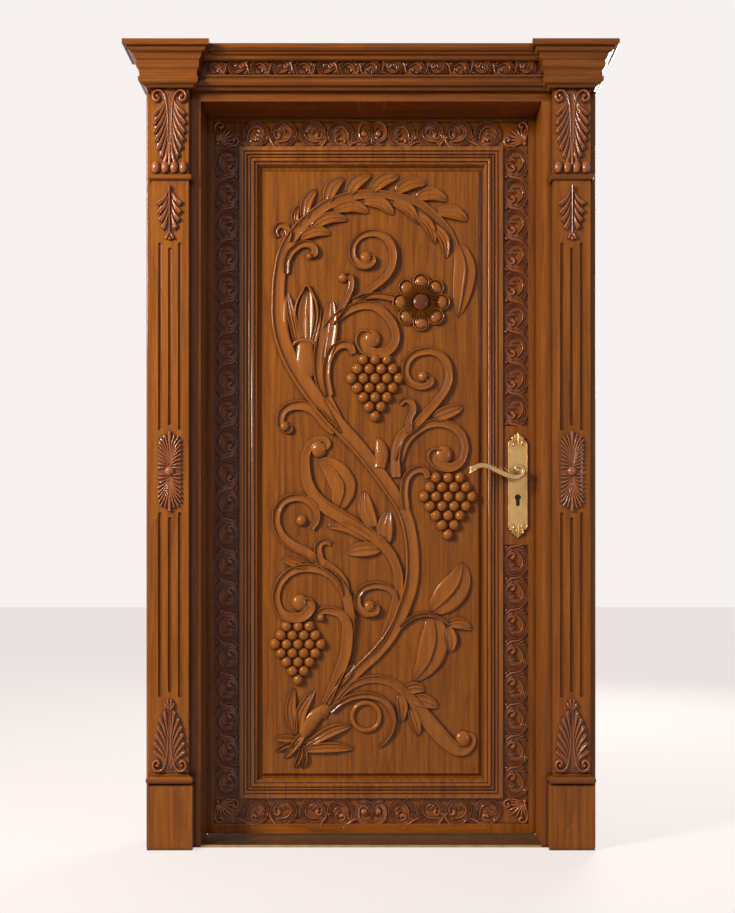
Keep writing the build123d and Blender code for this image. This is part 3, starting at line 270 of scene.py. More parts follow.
# Each varnished wood has painted shade in its corners; the recess values add painted shade round
# the carving.
frame_wood = varnished("frame_wood", honey, honey_dark)
head_wood = varnished("head_wood", brown, brown_dark, along_x)
panel_wood = varnished("panel_wood", panel_light, panel_dark)
rail_wood = varnished("rail_wood", panel_light, panel_dark, along_x)
moulding_wood = varnished("moulding_wood", honey, honey_dark, corner=0.005, gloss=1.33)
disc_wood = varnished("flower_disc_wood", (0.13, 0.030, 0.008), (0.07, 0.016, 0.004),
                      streaks=0.3, corner=0.004)
vine_wood = varnished("vine_wood", honey, honey_dark, streaks=0.5,
                      recess=(0.084, 0.0785, recess_shade_colour, 0.9), corner=0.009, gloss=1.3)
border_wood = varnished("border_wood", reddish, reddish_dark, streaks=0.4,
                        recess=(0.085, 0.0805, recess_shade_colour, 0.8), corner=0.005, gloss=1.42)
frieze_wood = varnished("frieze_wood", reddish, reddish_dark, streaks=0.4,
                        recess=(-0.056, -0.0605, recess_shade_colour, 0.8), corner=0.005, gloss=1.42)
ornament_wood = varnished("ornament_wood", reddish, reddish_dark, streaks=0.4,
                          recess=(-0.0550, -0.0605, recess_shade_colour, 0.85), corner=0.006, gloss=1.42)
brass = metal("satin_brass", (0.62, 0.40, 0.16), (0.50, 0.31, 0.11), 0.30, 300)
bronze = metal("lever_bronze", (0.56, 0.36, 0.17), (0.42, 0.25, 0.11), 0.25, 300)
dark_metal = metal("blackened_metal", (0.03, 0.025, 0.02), (0.05, 0.04, 0.03), 0.45, 500)
steel = metal("brushed_steel", (0.55, 0.55, 0.56), (0.45, 0.45, 0.46), 0.32, 700)
threshold_metal = metal("threshold_metal", (0.42, 0.30, 0.15), (0.3, 0.21, 0.1), 0.4, 400)
seal_rubber = rubber("seal_rubber", (0.03, 0.018, 0.012))

node_materials = {
    "jamb_lock_side": frame_wood, "jamb_hinge_side": frame_wood, "head_jamb": head_wood,
    "casing_right": frame_wood, "casing_left": frame_wood, "casing_head": head_wood,
    "rear_casing_right": frame_wood, "rear_casing_left": frame_wood,
    "rear_casing_head": head_wood, "plinth_right": frame_wood, "plinth_left": frame_wood,
    "base_mouldings": head_wood, "pilaster_right": frame_wood, "pilaster_left": frame_wood,
    "neckings": head_wood, "upper_blocks": frame_wood, "capital_right": head_wood,
    "capital_left": head_wood, "cornice": head_wood, "frieze_carving": frieze_wood,
    "base_leaves": ornament_wood, "top_leaves": ornament_wood, "paterae": ornament_wood,
    "leaf_drops": ornament_wood, "bead_rows": ornament_wood, "strike_plate": steel,
    "hinge_plates_frame": steel, "stile_hinge": panel_wood, "stile_lock": panel_wood,
    "rail_top": rail_wood, "rail_bottom": rail_wood, "panel": panel_wood,
    "front_moulding": panel_wood, "rear_moulding": panel_wood, "border_left": border_wood,
    "border_right": border_wood, "border_top": border_wood, "border_bottom": border_wood,
    "vine_carving": vine_wood, "hinge_plates_leaf": steel, "lock_case": steel,
    "forend": steel, "lock_cylinder": dark_metal, "back_plate_front": brass,
    "back_plate_rear": brass, "lever_front": bronze, "lever_rear": bronze,
    "spindle": steel, "follower": steel, "latch_bolt": steel, "dead_bolt": steel,
    "cylinder_plug": dark_metal, "weather_seal": seal_rubber, "sill": threshold_metal,
}
for name, node in nodes.items():
    node.data.materials.clear()
    node.data.materials.append(node_materials[name])

# Carving: each strand is a flat curve swept with a carved section, then stood up on its ground

mm = 0.001


def section(name, points):
    """A closed section for a half width of 1: X across the strand, Y up from its ground."""
    curve = bpy.data.curves.new(name, "CURVE")
    curve.dimensions = "2D"
    spline = curve.splines.new("POLY")
    spline.points.add(len(points) - 1)
    for point, (across, up) in zip(spline.points, points):
        point.co = (across, up, 0, 1)
    spline.use_cyclic_u = True
    shape = bpy.data.objects.new(name, curve)
    bpy.context.scene.collection.objects.link(shape)
    return shape


def two_sided(half):
    """A symmetrical outline from its right half, which starts on the middle line."""
    return half + [(-across, up) for across, up in reversed(half[1:])]


foot = -0.25
rim_outline = [(1, foot), (1, 0.45), (0.96, 0.82), (0.87, 1), (0.76, 1), (0.66, 0.8), (0.55, 0.52),
               (0.25, 0.44), (-0.15, 0.44), (-0.52, 0.54), (-0.76, 0.66), (-0.9, 0.62),
               (-0.98, 0.4), (-1, foot)]
round_outline = two_sided([(0, 1), (0.35, 0.95), (0.68, 0.76), (0.9, 0.45), (1, 0.1), (1, foot)])
leaf_outline = two_sided([(0, 0.62), (0.08, 0.5), (0.35, 0.46), (0.6, 0.62), (0.78, 0.88),
                          (0.9, 0.85), (1, 0.4), (1, foot)])
midrib_outline = two_sided([(0, 1), (0.06, 0.98), (0.12, 0.6), (0.4, 0.5), (0.72, 0.62),
                            (0.9, 0.6), (1, 0.25), (1, foot)])
sections = {
    "rim_right": section("rim_right", rim_outline),
    "rim_left": section("rim_left", [(-across, up) for across, up in reversed(rim_outline)]),
    "round": section("round", round_outline),
    "leaf": section("leaf", leaf_outline),
    "midrib": section("midrib", midrib_outline),
    "tube": section("tube", [(math.cos(math.pi * step / 8), math.sin(math.pi * step / 8))
                             for step in range(16)]),
}


def turns_left(points):
    """Whether a strand through the points bends to the left on the whole."""
    bend = 0
    for before, here, after in zip(points, points[1:], points[2:]):
        bend += ((here[0] - before[0]) * (after[1] - here[1])
                 - (here[1] - before[1]) * (after[0] - here[0]))
    return bend > 0


def spread(values, count):
    """The values drawn out evenly over a number of points."""
    out = []
    for index in range(count):
        place = index / (count - 1) * (len(values) - 1)
        low = min(int(place), len(values) - 2)
        out.append(values[low] + (values[low + 1] - values[low]) * (place - low))
    return out


def strand(points, halves, rise, shape, ground, steps=6):
    """A carved strand through points (x, z) in metres, with a half width at each point."""
    curve = bpy.data.curves.new("strand", "CURVE")
    curve.dimensions = "2D"
    curve.fill_mode = "NONE"
    curve.bevel_mode = "OBJECT"
    curve.bevel_object = sections[shape]
    curve.use_fill_caps = True
    curve.resolution_u = steps
    spline = curve.splines.new("BEZIER")
    spline.bezier_points.add(len(points) - 1)
    for point, (x, z), half in zip(spline.bezier_points, points, halves):
        point.co = (x, z, 0)
        point.handle_left_type = point.handle_right_type = "AUTO"
        point.radius = half
    piece = bpy.data.objects.new("strand", curve)
    bpy.context.scene.collection.objects.link(piece)
    bpy.ops.object.select_all(action="DESELECT")
    bpy.context.view_layer.objects.active = piece
    piece.select_set(True)
    bpy.ops.object.convert(target="MESH")
    piece = bpy.context.object
    height = rise / max(halves)
    stand = Matrix(((1, 0, 0, 0), (0, 0, -height, ground), (0, 1, 0, 0), (0, 0, 0, 1)))
    piece.data.transform(stand)
    return piece


def as_one_mesh(parts):
    """The parts joined into one object, such as an ornament that is then copied into place."""
    bpy.ops.object.select_all(action="DESELECT")
    for part in parts:
        part.select_set(True)
    bpy.context.view_layer.objects.active = parts[0]
    bpy.ops.object.join()
    return bpy.context.object


def placed(model, x, z, ground, turn=0.0, flip_x=1, flip_z=1, size=1.0):
    """A copy with its own mesh: mirrored, turned in its plane by an angle, scaled and moved."""
    copy = model.copy()
    copy.data = model.data.copy()
    copy.data.transform(Matrix.Diagonal((flip_x * size, 1, flip_z * size, 1)))
    copy.data.transform(Matrix.Rotation(turn, 4, "Y"))
    copy.data.transform(Matrix.Translation((x, ground, z)))
    bpy.context.scene.collection.objects.link(copy)
    return copy


def joined(name, parts, body, material, replaced=(), smooth_angle=50):
    """The parts as one named piece that rides on a body."""
    piece = as_one_mesh(parts)
    piece.name = name
    bpy.ops.object.mode_set(mode="EDIT")
    bpy.ops.mesh.select_all(action="SELECT")
    bpy.ops.mesh.remove_doubles(threshold=0.00001)
    bpy.ops.mesh.normals_make_consistent(inside=False)
    bpy.ops.object.mode_set(mode="OBJECT")
    bpy.ops.object.shade_smooth_by_angle(angle=math.radians(smooth_angle))
    piece.data.materials.clear()
    piece.data.materials.append(material)
    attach(piece, body)
    if replaced:
        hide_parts(*replaced)
    return piece


# The vine, in millimetres from the middle of the panel and up from the foot of its field:
# points along each strand, and its half width from the start to the end

field_bottom = 178
panel_ground = 0.084
vine_rise = 0.014


def on_panel(points):
    """Places on the panel, given in millimetres, in metres."""
    return [(x * mm, (field_bottom + z) * mm) for x, z in points]


main_stem = [(-140, 160), (-87, 237), (-31, 293), (25, 348), (65, 404), (90, 460), (112, 530),
             (116, 600), (108, 680), (90, 738), (56, 794), (17, 849), (-39, 919), (-90, 974),
             (-138, 1030), (-180, 1086), (-216, 1142), (-241, 1197), (-256, 1253), (-260, 1320),
             (-254, 1412), (-240, 1467), (-222, 1501), (-194, 1534), (-160, 1565), (-121, 1593),
             (-81, 1609), (-36, 1620), (8, 1622), (53, 1619), (98, 1609), (138, 1595), (171, 1570),
             (199, 1543), (222, 1512), (239, 1473), (252, 1425), (258, 1384)]
main_stem_halves = (13, 17, 20, 18, 20, 24, 22, 18, 18, 15, 12, 11, 9, 4)

scrolls = [
    ([(-48, 1325), (8, 1362), (48, 1400), (62, 1445), (53, 1484), (25, 1509), (-3, 1512),
      (-37, 1498), (-53, 1462), (-42, 1432), (-14, 1422), (2, 1438)], (9, 11, 11, 9, 7)),
    ([(-75, 960), (-126, 1058), (-143, 1097), (-149, 1153), (-143, 1203), (-126, 1242),
      (-98, 1275), (-60, 1300), (-20, 1311), (12, 1306), (42, 1283), (65, 1247), (68, 1214),
      (53, 1188), (25, 1176), (-3, 1180), (-24, 1198), (-23, 1224)], (13, 14, 13, 12, 12, 9)),
    ([(70, 830), (68, 863), (70, 908), (87, 947), (121, 974), (154, 1008), (188, 1047),
      (212, 1086), (217, 1125), (203, 1162), (177, 1180), (143, 1181), (112, 1167), (96, 1136),
      (103, 1104), (124, 1087), (149, 1084), (167, 1100)], (14, 13, 12, 11, 11, 7)),
    ([(76, 874), (98, 930), (132, 963), (171, 980), (211, 978), (244, 959), (260, 928),
      (259, 891), (242, 865), (211, 857), (184, 870), (175, 892)], (13, 12, 12, 10, 8)),
    ([(-70, 500), (-80, 540), (-105, 568), (-138, 590), (-183, 620), (-228, 645), (-256, 675),
      (-266, 716), (-254, 753), (-222, 772), (-185, 768), (-158, 745), (-152, 712),
      (-168, 685)], (12, 14, 13, 12, 11, 8)),
    ([(-56, 432), (-65, 482), (-87, 530), (-121, 562), (-166, 575), (-211, 571), (-246, 547),
      (-264, 510), (-262, 471), (-244, 444), (-212, 436), (-184, 446), (-172, 474)],
     (14, 13, 12, 11, 8)),
    ([(70, 482), (59, 510), (31, 525), (-3, 525), (-29, 512), (-40, 486), (-30, 460),
      (-6, 449), (14, 462)], (8, 10, 10, 8)),
    ([(-110, 190), (-81, 226), (-42, 252), (3, 264), (53, 256), (92, 230), (126, 192),
      (160, 148), (190, 112), (222, 80), (252, 66), (274, 78), (278, 98)],
     (11, 11, 12, 14, 24, 20, 10)),
    ([(-115, 176), (-81, 202), (-37, 218), (8, 216), (44, 197), (60, 165), (59, 126),
      (42, 94), (20, 74)], (9, 9, 8, 3)),
]

hooks = [
    ([(-235, 1490), (-232, 1515), (-250, 1535), (-268, 1520), (-262, 1502)], (10, 9, 8, 6)),
    ([(-238, 1400), (-234, 1440), (-215, 1468), (-187, 1482), (-162, 1474), (-158, 1455)],
     (9, 11, 10, 9)),
    ([(-112, 1261), (-81, 1306), (-61, 1345), (-55, 1372), (-62, 1392)], (9, 9, 8, 6)),
    ([(-118, 1058), (-126, 1125), (-112, 1178), (-85, 1200), (-60, 1196), (-50, 1175)],
     (12, 12, 12, 9)),
    ([(-100, 960), (-121, 974), (-149, 1008), (-183, 1028), (-216, 1030), (-242, 1018),
      (-254, 992), (-246, 968), (-228, 964)], (15, 15, 14, 12, 9)),
    ([(105, 955), (107, 990), (118, 1019), (112, 1039), (94, 1046), (80, 1034)], (10, 9, 9, 7)),
    ([(96, 744), (92, 794), (102, 833), (124, 850), (149, 848), (159, 828)], (12, 12, 11, 8)),
    ([(-138, 582), (-148, 615), (-146, 640), (-130, 650), (-112, 643)], (13, 12, 10, 7)),
    ([(-126, 198), (-98, 265), (-76, 320), (-67, 376), (-69, 421), (-83, 444), (-110, 455),
      (-138, 454), (-152, 438)], (12, 16, 17, 14, 12, 9)),
    ([(-40, 300), (25, 366), (50, 420), (67, 470), (78, 530), (65, 593), (38, 635), (8, 662),
      (-37, 690), (-81, 718), (-138, 755), (-172, 800), (-184, 860), (-178, 905), (-155, 928),
      (-128, 925)], (6, 12, 14, 13, 16, 18, 20, 16, 12, 8)),
    ([(-56, 380), (-60, 440), (-66, 500)], (10, 14, 12)),
    ([(81, 409), (104, 430), (132, 443), (171, 443), (199, 430), (219, 416)], (6, 7, 6, 4)),
    ([(-53, 1323), (8, 1338), (62, 1330)], (8, 9, 9)),
]

leaves = [
    ([(-205, 1528), (-213, 1560), (-203, 1590)], (6, 12, 0)),
    ([(-188, 1550), (-180, 1600), (-152, 1639)], (8, 17, 0)),
    ([(-125, 1600), (-108, 1642), (-76, 1670)], (8, 20, 0)),
    ([(-65, 1622), (-42, 1655), (3, 1682)], (8, 20, 0)),
    ([(0, 1632), (35, 1662), (81, 1675)], (8, 20, 0)),
    ([(70, 1630), (112, 1652), (159, 1655)], (8, 19, 0)),
    ([(128, 1612), (172, 1622), (216, 1603)], (8, 19, 0)),
    ([(185, 1575), (232, 1570), (272, 1548)], (8, 20, 0)),
    ([(-199, 1500), (-155, 1518), (-110, 1512)], (7, 17, 0)),
    ([(-165, 1530), (-115, 1556), (-62, 1550)], (7, 17, 0)),
    ([(-105, 1578), (-50, 1588), (-4, 1570)], (8, 18, 0)),
    ([(-20, 1603), (28, 1596), (65, 1563)], (8, 18, 0)),
    ([(62, 1600), (105, 1580), (132, 1537)], (8, 16, 0)),
    ([(121, 1570), (160, 1535), (180, 1481)], (8, 15, 0)),
    ([(173, 1535), (205, 1495), (211, 1442)], (8, 15, 0)),
    ([(171, 995), (215, 1012), (261, 1030)], (8, 20, 0)),
    ([(5, 690), (-15, 740), (-18, 791)], (14, 24, 0)),
    ([(42, 643), (38, 690), (51, 738)], (10, 24, 0)),
    ([(-5, 655), (-70, 690), (-126, 691)], (10, 16, 0)),
    ([(25, 630), (-25, 628), (-73, 618)], (8, 22, 0)),
    ([(-177, 580), (-215, 590), (-254, 602)], (8, 13, 0)),
    ([(219, 418), (250, 420), (284, 402)], (6, 16, 0)),
    ([(213, 409), (222, 375), (222, 337)], (10, 20, 0)),
    ([(93, 234), (125, 240), (154, 235)], (6, 17, 0)),
    ([(112, 208), (152, 203), (191, 185)], (6, 20, 0)),
    ([(80, 222), (88, 185), (84, 142)], (6, 16, 0)),
    ([(110, 187), (124, 145), (132, 103)], (6, 16, 0)),
    ([(-98, 241), (-68, 282), (-45, 312)], (8, 13, 0)),
    ([(-190, 110), (-215, 78), (-244, 40)], (10, 13, 0)),
    ([(-213, 111), (-225, 180), (-216, 241)], (6, 16, 0)),
    ([(-205, 115), (-195, 175), (-157, 236)], (6, 17, 0)),
    ([(-180, 80), (-110, 120), (-53, 134)], (8, 16, 0)),
    ([(-190, 68), (-115, 74), (-45, 70)], (8, 15, 0)),
    ([(-205, 96), (-240, 98), (-272, 96)], (6, 10, 0)),
    ([(-208, 88), (-242, 78), (-267, 60)], (6, 8, 0)),
    ([(-195, 72), (-202, 42), (-216, 14)], (6, 8, 0)),
    ([(-188, 70), (-185, 40), (-191, 12)], (6, 8, 0)),
    ([(-205, 1200), (-222, 1280), (-236, 1350)], (8, 14, 0)),
    ([(-183, 1200), (-182, 1290), (-176, 1362)], (12, 24, 0)),
    ([(-165, 1200), (-152, 1260), (-148, 1322)], (8, 12, 0)),
    ([(-138, 1120), (-118, 1240), (-112, 1322)], (8, 26, 8)),
]

broad_leaves = [
    ([(246, 1480), (262, 1420), (255, 1345), (242, 1275)], (12, 32, 26, 0)),
    ([(166, 452), (212, 492), (246, 540), (256, 596)], (6, 44, 38, 0)),
    ([(171, 443), (178, 380), (158, 310), (115, 254)], (6, 42, 40, 0)),
    ([(-95, 740), (-78, 800), (-105, 850), (-148, 880)], (14, 38, 26, 6)),
]

buds = [
    ([(25, 857), (30, 900), (17, 941)], (20, 22, 0)),
    ([(-195, 100), (-165, 150), (-120, 188)], (8, 24, 14)),
    ([(-175, 1100), (-184, 1160), (-184, 1210)], (6, 22, 32)),
]

scroll_eyes = [(-14, 1445, 17), (3, 1217, 24), (146, 1112, 14), (204, 892, 24), (-194, 708, 15),
               (-200, 478, 22), (-4, 468, 16), (258, 96, 22), (-172, 1448, 9), (-242, 972, 14),
               (-146, 908, 22), (-140, 436, 11), (-78, 1388, 13)]

ring_loop = (-14, 159, 39, 8)
flower_place = (140, 1320)
grape_places = [(12, 1159, 33, 26.5), (216, 828, 33.5, 26.5), (-204, 412, 32, 25)]


def vine_strand(points, halves, shape=None, rise=vine_rise, steps=6):
    """A strand of the vine, whose raised rim lies on the outside of its bend."""
    if shape is None:
        shape = "rim_right" if turns_left(points) else "rim_left"
    widths = [half * mm for half in spread(halves, len(points))]
    return strand(on_panel(points), widths, rise, shape, panel_ground, steps)


def leaf_line(points, halves):
    """A leaf's middle line through three or four points, and its half widths in metres."""
    count = 9
    start, tip, widest = halves[0], halves[-1], max(halves)
    path, widths = [], []
    for index in range(count):
        t = index / (count - 1)
        place = t * (len(points) - 1)
        low = min(int(place), len(points) - 2)
        share = place - low
        before = points[max(low - 1, 0)]
        here, after = points[low], points[low + 1]
        beyond = points[min(low + 2, len(points) - 1)]
        path.append(tuple(
            0.5 * (2 * b + (c - a) * share + (2 * a - 5 * b + 4 * c - d) * share ** 2
                   + (3 * b - a - 3 * c + d) * share ** 3)
            for a, b, c, d in zip(before, here, after, beyond)))
        belly = math.sin(math.pi * t ** 0.85) ** 0.8 if 0 < t < 1 else 0
        ends = start * (1 - t) ** 3 + tip * t ** 3
        widths.append(max(ends + (widest - ends) * belly, 0.8) * mm)
    return path, widths


def leaf_strand(points, halves, shape, rise):
    """A leaf of the vine."""
    path, widths = leaf_line(points, halves)
    return strand(on_panel(path), widths, rise, shape, panel_ground, 3)


def dome(x, z, radius, rise, ground=panel_ground, segments=20, rings=10):
    """A smooth flattened ball, half sunk in its ground."""
    bpy.ops.mesh.primitive_uv_sphere_add(segments=segments, ring_count=rings, radius=radius,
                                         location=(x, ground, z))
    ball = bpy.context.object
    ball.scale = (1, rise / radius, 1)
    bpy.ops.object.transform_apply(location=True, rotation=True, scale=True)
    return ball


def into_eye(points, halves):
    """A scroll led on into the eye that it ends at, where it swells."""
    for x, z, radius in scroll_eyes:
        if math.dist(points[-1], (x, z)) < 2.2 * radius:
            near = ((points[-1][0] + x * 2) / 3, (points[-1][1] + z * 2) / 3)
            return points + [near], tuple(halves[:-1]) + (max(halves[-1], radius * 0.7),) * 2
    return points, halves


def vine_stems():
    """All stems, scrolls and hooks of the vine, with the eyes that the scrolls end in."""
    parts = [vine_strand(main_stem, main_stem_halves, "rim_left")]
    for points, halves in scrolls + hooks:
        parts.append(vine_strand(*into_eye(points, halves)))
    for x, z, radius in scroll_eyes:
        (place,) = on_panel([(x, z)])
        parts.append(dome(*place, radius * 1.12 * mm, vine_rise))
    joined("vine_stems", parts, "leaf", vine_wood, ["vine_carving"])


def vine_leaves():
    """The narrow and the broad leaves, and the smooth buds."""
    parts = []
    for group, shape in ((leaves, "leaf"), (broad_leaves, "midrib"), (buds, "round")):
        for points, halves in group:
            parts.append(leaf_strand(points, halves, shape, vine_rise * 0.9))
    joined("vine_leaves", parts, "leaf", vine_wood)


def grapes():
    """Three hanging bunches."""
    rows = (3, 4, 5, 4, 3, 2, 1)
    grape = dome(0, 0, 0.0168, 0.0165, segments=16, rings=10)
    parts = []
    for x, z, pitch, drop in grape_places:
        for row, count in enumerate(rows):
            for index in range(count):
                across = x + (index - (count - 1) / 2) * pitch
                (place,) = on_panel([(across, z - row * drop)])
                parts.append(placed(grape, *place, 0))
    bpy.data.objects.remove(grape)
    joined("grapes", parts, "leaf", vine_wood)


def flower():
    """Eight cupped petals with a rim and ribs, round a ribbed disc."""
    x, z = flower_place
    petal = [(24, 11), (33, 15), (43, 18.5), (52, 21), (60, 21.5), (69, 18.5), (76, 11)]
    parts = []
    for index in range(8):
        angle = math.pi * index / 4
        out, across = (math.cos(angle), math.sin(angle)), (-math.sin(angle), math.cos(angle))

        def spot(reach, half):
            return (x + reach * out[0] + half * across[0], z + reach * out[1] + half * across[1])

        parts.append(vine_strand([spot(reach, 0) for reach, half in petal],
                                 [half for reach, half in petal], "round", 0.0078, 4))
        rim = [spot(reach, half) for reach, half in petal] + [spot(79, 0)]
        rim += [spot(reach, -half) for reach, half in reversed(petal)]
        parts.append(vine_strand(rim, (2.0, 2.8, 2.0), "round", 0.0100, 3))
        (bulge,) = on_panel([spot(59, 0)])
        parts.append(dome(*bulge, 17 * mm, 0.0100))
        for fan in (-12, -8, -4, 0, 4, 8, 12):
            rib = [spot(25, fan * 0.7), spot(36, fan), spot(54, fan * 1.1)]
            parts.append(vine_strand(rib, (1.5, 1.9, 0.9), "round", 0.0135, 2))
    joined("flower", parts, "leaf", vine_wood)
    (place,) = on_panel([(x, z)])
    parts = [dome(*place, 27 * mm, 0.0145, segments=32, rings=16)]
    for line in range(-5, 6):
        tall = (26 ** 2 - (line * 4.4) ** 2) ** 0.5
        ridge = [(x + line * 4.4, z + step * tall) for step in (-0.9, 0, 0.9)]
        bulge = 0.0145 * (1 - (line * 4.4 / 27) ** 2) ** 0.5 + 0.0006
        parts.append(vine_strand(ridge, (0.5, 1.2, 0.5), "round", bulge, 3))
    joined("flower_disc", parts, "leaf", disc_wood)


def tulip():
    """The cup and ring that hold the three long petals, and the rim of the middle one."""
    rim = [(-196, 1212), (-212, 1260), (-210, 1310), (-192, 1350), (-180, 1366), (-168, 1350),
           (-152, 1310), (-152, 1260), (-166, 1212)]
    parts = [vine_strand(rim, (3, 5, 4.5, 5, 3), "round", 0.0125, 4)]
    parts.append(vine_strand([(-180, 1215), (-180, 1262), (-181, 1312)], (9, 10, 3), "round",
                             0.0115, 4))
    parts.append(vine_strand([(-224, 1192), (-212, 1206), (-188, 1212), (-164, 1207),
                              (-150, 1193)], (3, 6.5, 7.5, 6.5, 3), "round", 0.0150, 4))
    parts.append(vine_strand([(-228, 1205), (-240, 1262), (-240, 1318), (-236, 1345)],
                             (6, 10, 8, 1), "round", 0.0120, 4))
    joined("tulip", parts, "leaf", vine_wood)


def tendril_ring():
    """The small closed ring at the foot of the vine."""
    x, z, radius, half = ring_loop
    (place,) = on_panel([(x, z)])
    bpy.ops.mesh.primitive_torus_add(major_radius=radius * mm, minor_radius=half * mm,
                                     major_segments=40, minor_segments=12,
                                     location=(place[0], panel_ground, place[1]),
                                     rotation=(math.pi / 2, 0, 0))
    ring = bpy.context.object
    bpy.ops.object.transform_apply(location=True, rotation=True, scale=True)
    joined("tendril_ring", [ring], "leaf", vine_wood)


vine_stems()
vine_leaves()
grapes()
flower()
tulip()
tendril_ring()


# The moulding round the panel: how far each line lies outside the field, and its level

field_half_width, field_low, field_high = 300, 178, 1864
moulding_profile = [
    (68, 83), (68, 74.6), (57, 74.2), (56, 78.5), (53.5, 78.5), (53, 75.4), (51, 74.6),
    (49, 74.9), (48, 76), (47.5, 80.5), (44, 80.5), (43.5, 76), (42, 74.8), (40, 74.6),
    (39, 75.6), (38.5, 78.8), (36.5, 78.8), (36, 74.6), (34.5, 72.9), (31.5, 72.1),
    (28.5, 72.9), (27, 74.6), (26.5, 79.8), (24, 79.8), (23.5, 78), (20.5, 78.4), (17, 84),
    (14, 94)]


def panel_moulding():
    """Set in step by step from a sheet as large as its outer edge."""
    wide, tall = field_half_width * 2, field_high - field_low
    outer, level = moulding_profile[0]
    bpy.ops.mesh.primitive_plane_add(size=1, rotation=(math.pi / 2, 0, 0),
                                     location=(0, level * mm, (field_low + field_high) / 2 * mm))
    sheet = bpy.context.object
    sheet.scale = ((wide + 2 * outer) * mm, (tall + 2 * outer) * mm, 1)
    bpy.ops.object.transform_apply(location=True, rotation=True, scale=True)
    bpy.ops.object.mode_set(mode="EDIT")
    bpy.ops.mesh.select_mode(type="FACE")
    bpy.ops.mesh.select_all(action="SELECT")
    for place, depth in moulding_profile[1:]:
        bpy.ops.mesh.inset(thickness=max(outer - place, 0) * mm, depth=(level - depth) * mm,
                           use_even_offset=True)
        outer, level = place, depth
    bpy.ops.mesh.delete(type="FACE")
    bpy.ops.object.mode_set(mode="OBJECT")
    joined("panel_moulding", [sheet], "leaf", moulding_wood, ["front_moulding"], 35)


panel_moulding()


# The carved border of the leaf and the frieze: one unit of scrollwork, set end to end

border_ground = 0.085
border_rise = 0.0075

unit_rim = ([(12, -43), (-10, -36), (-27, -20), (-31, 2), (-22, 22), (-3, 32), (17, 28), (30, 12),
             (31, -9), (22, -27), (10, -36)], (3, 6, 8, 8, 7, 5))
unit_ribs = [
    ([(-4, -27), (-17, -12), (-20, 5), (-11, 19), (3, 24)], (2, 2.6, 2.2)),
    ([(22, -16), (10, -25), (3, -17), (8, -9), (15, -12)], (3, 4, 4.5)),
]
unit_leaves = [
    ([(25, 13), (9, 19), (-11, 12)], (3, 6, 0)),
    ([(27, 4), (13, 8), (-4, 0)], (3, 5.5, 0)),
    ([(26, -6), (16, -2), (3, -5)], (3, 4.5, 0)),
    ([(-8, -38), (-20, -35), (-31, -40)], (3, 5, 0)),
    ([(-3, -42), (-16, -44), (-27, -51)], (3, 5, 0)),
    ([(17, -39), (26, -38), (33, -46)], (3, 5, 0)),
]


def flat_strand(points, halves, rise, shape=None, steps=3, ground=0.0):
    """A strand of an ornament, drawn in millimetres from its own middle."""
    if shape is None:
        shape = "rim_right" if turns_left(points) else "rim_left"
    widths = [half * mm for half in spread(halves, len(points))]
    return strand([(x * mm, z * mm) for x, z in points], widths, rise, shape, ground, steps)


def flat_leaf(points, halves, rise, shape="leaf", steps=1):
    """A leaf of an ornament, drawn in millimetres through three points."""
    path, widths = leaf_line(points, halves)
    return strand([(x * mm, z * mm) for x, z in path], widths, rise, shape, 0, steps)


def scroll_unit():
    """A ribbed ring of scrollwork with a leaf that curls inside it, a band that crosses to
    the next ring, a bud and leaves at its foot."""
    rim, halves = unit_rim
    parts = [flat_strand(rim, halves, border_rise * 0.9)]
    for size in (1.07, 0.95, 0.83):
        ridge = [(x * size, z * size) for x, z in rim[1:-1]]
        parts.append(flat_strand(ridge, (0.7, 1.5, 0.7), border_rise * 1.04, "round", 2))
    parts.append(flat_strand([(27, -31), (14, -41), (-8, -45), (-25, -54)], (2.5, 4.2, 2.4),
                             border_rise * 0.85, "round", 2))
    parts.append(dome(0.0275, -0.0415, 0.0052, border_rise * 0.9, 0, 12, 6))
    for points, halves in unit_ribs:
        parts.append(flat_strand(points, halves, border_rise * 0.75, "round", 2))
    for points, halves in unit_leaves:
        parts.append(flat_leaf(points, halves, border_rise * 0.85))
    parts.append(dome(0.008, -0.013, 0.005, border_rise * 0.8, 0, 12, 6))
    return as_one_mesh(parts)


def fan(count, opening, length, half):
    """Leaves that spread upwards from one point."""
    parts = []
    for index in range(count):
        share = index / (count - 1) * 2 - 1
        angle = math.pi / 2 - share * opening
        reach = length * (1 - 0.25 * abs(share))
        bend = share * 0.25
        points = [(2 * math.cos(angle), 2 * math.sin(angle)),
                  (reach * 0.6 * math.cos(angle), reach * 0.6 * math.sin(angle)),
                  (reach * math.cos(angle - bend), reach * math.sin(angle - bend))]
        parts.append(flat_leaf(points, (1.5, half, 0), border_rise * 0.9))
    return as_one_mesh(parts)


def palmette():
    """The middle of a cross band: a fan between two scrolls with large eyes."""
    parts = [fan(7, 0.9, 58, 4.2)]
    parts[0].data.transform(Matrix.Translation((0, 0, -0.030)))
    for side in (-1, 1):
        curl = [(side * 6, 30), (side * 28, 30), (side * 38, 10), (side * 32, -14),
                (side * 14, -18), (side * 8, -2)]
        parts.append(flat_strand(curl, (3, 6, 6, 5), border_rise))
        parts.append(dome(side * 0.020, 0.002, 0.010, border_rise, 0, 16, 8))
        parts.append(flat_leaf([(side * 6, -22), (side * 22, -30), (side * 40, -24)], (3, 5, 0),
                               border_rise * 0.8))
    return as_one_mesh(parts)


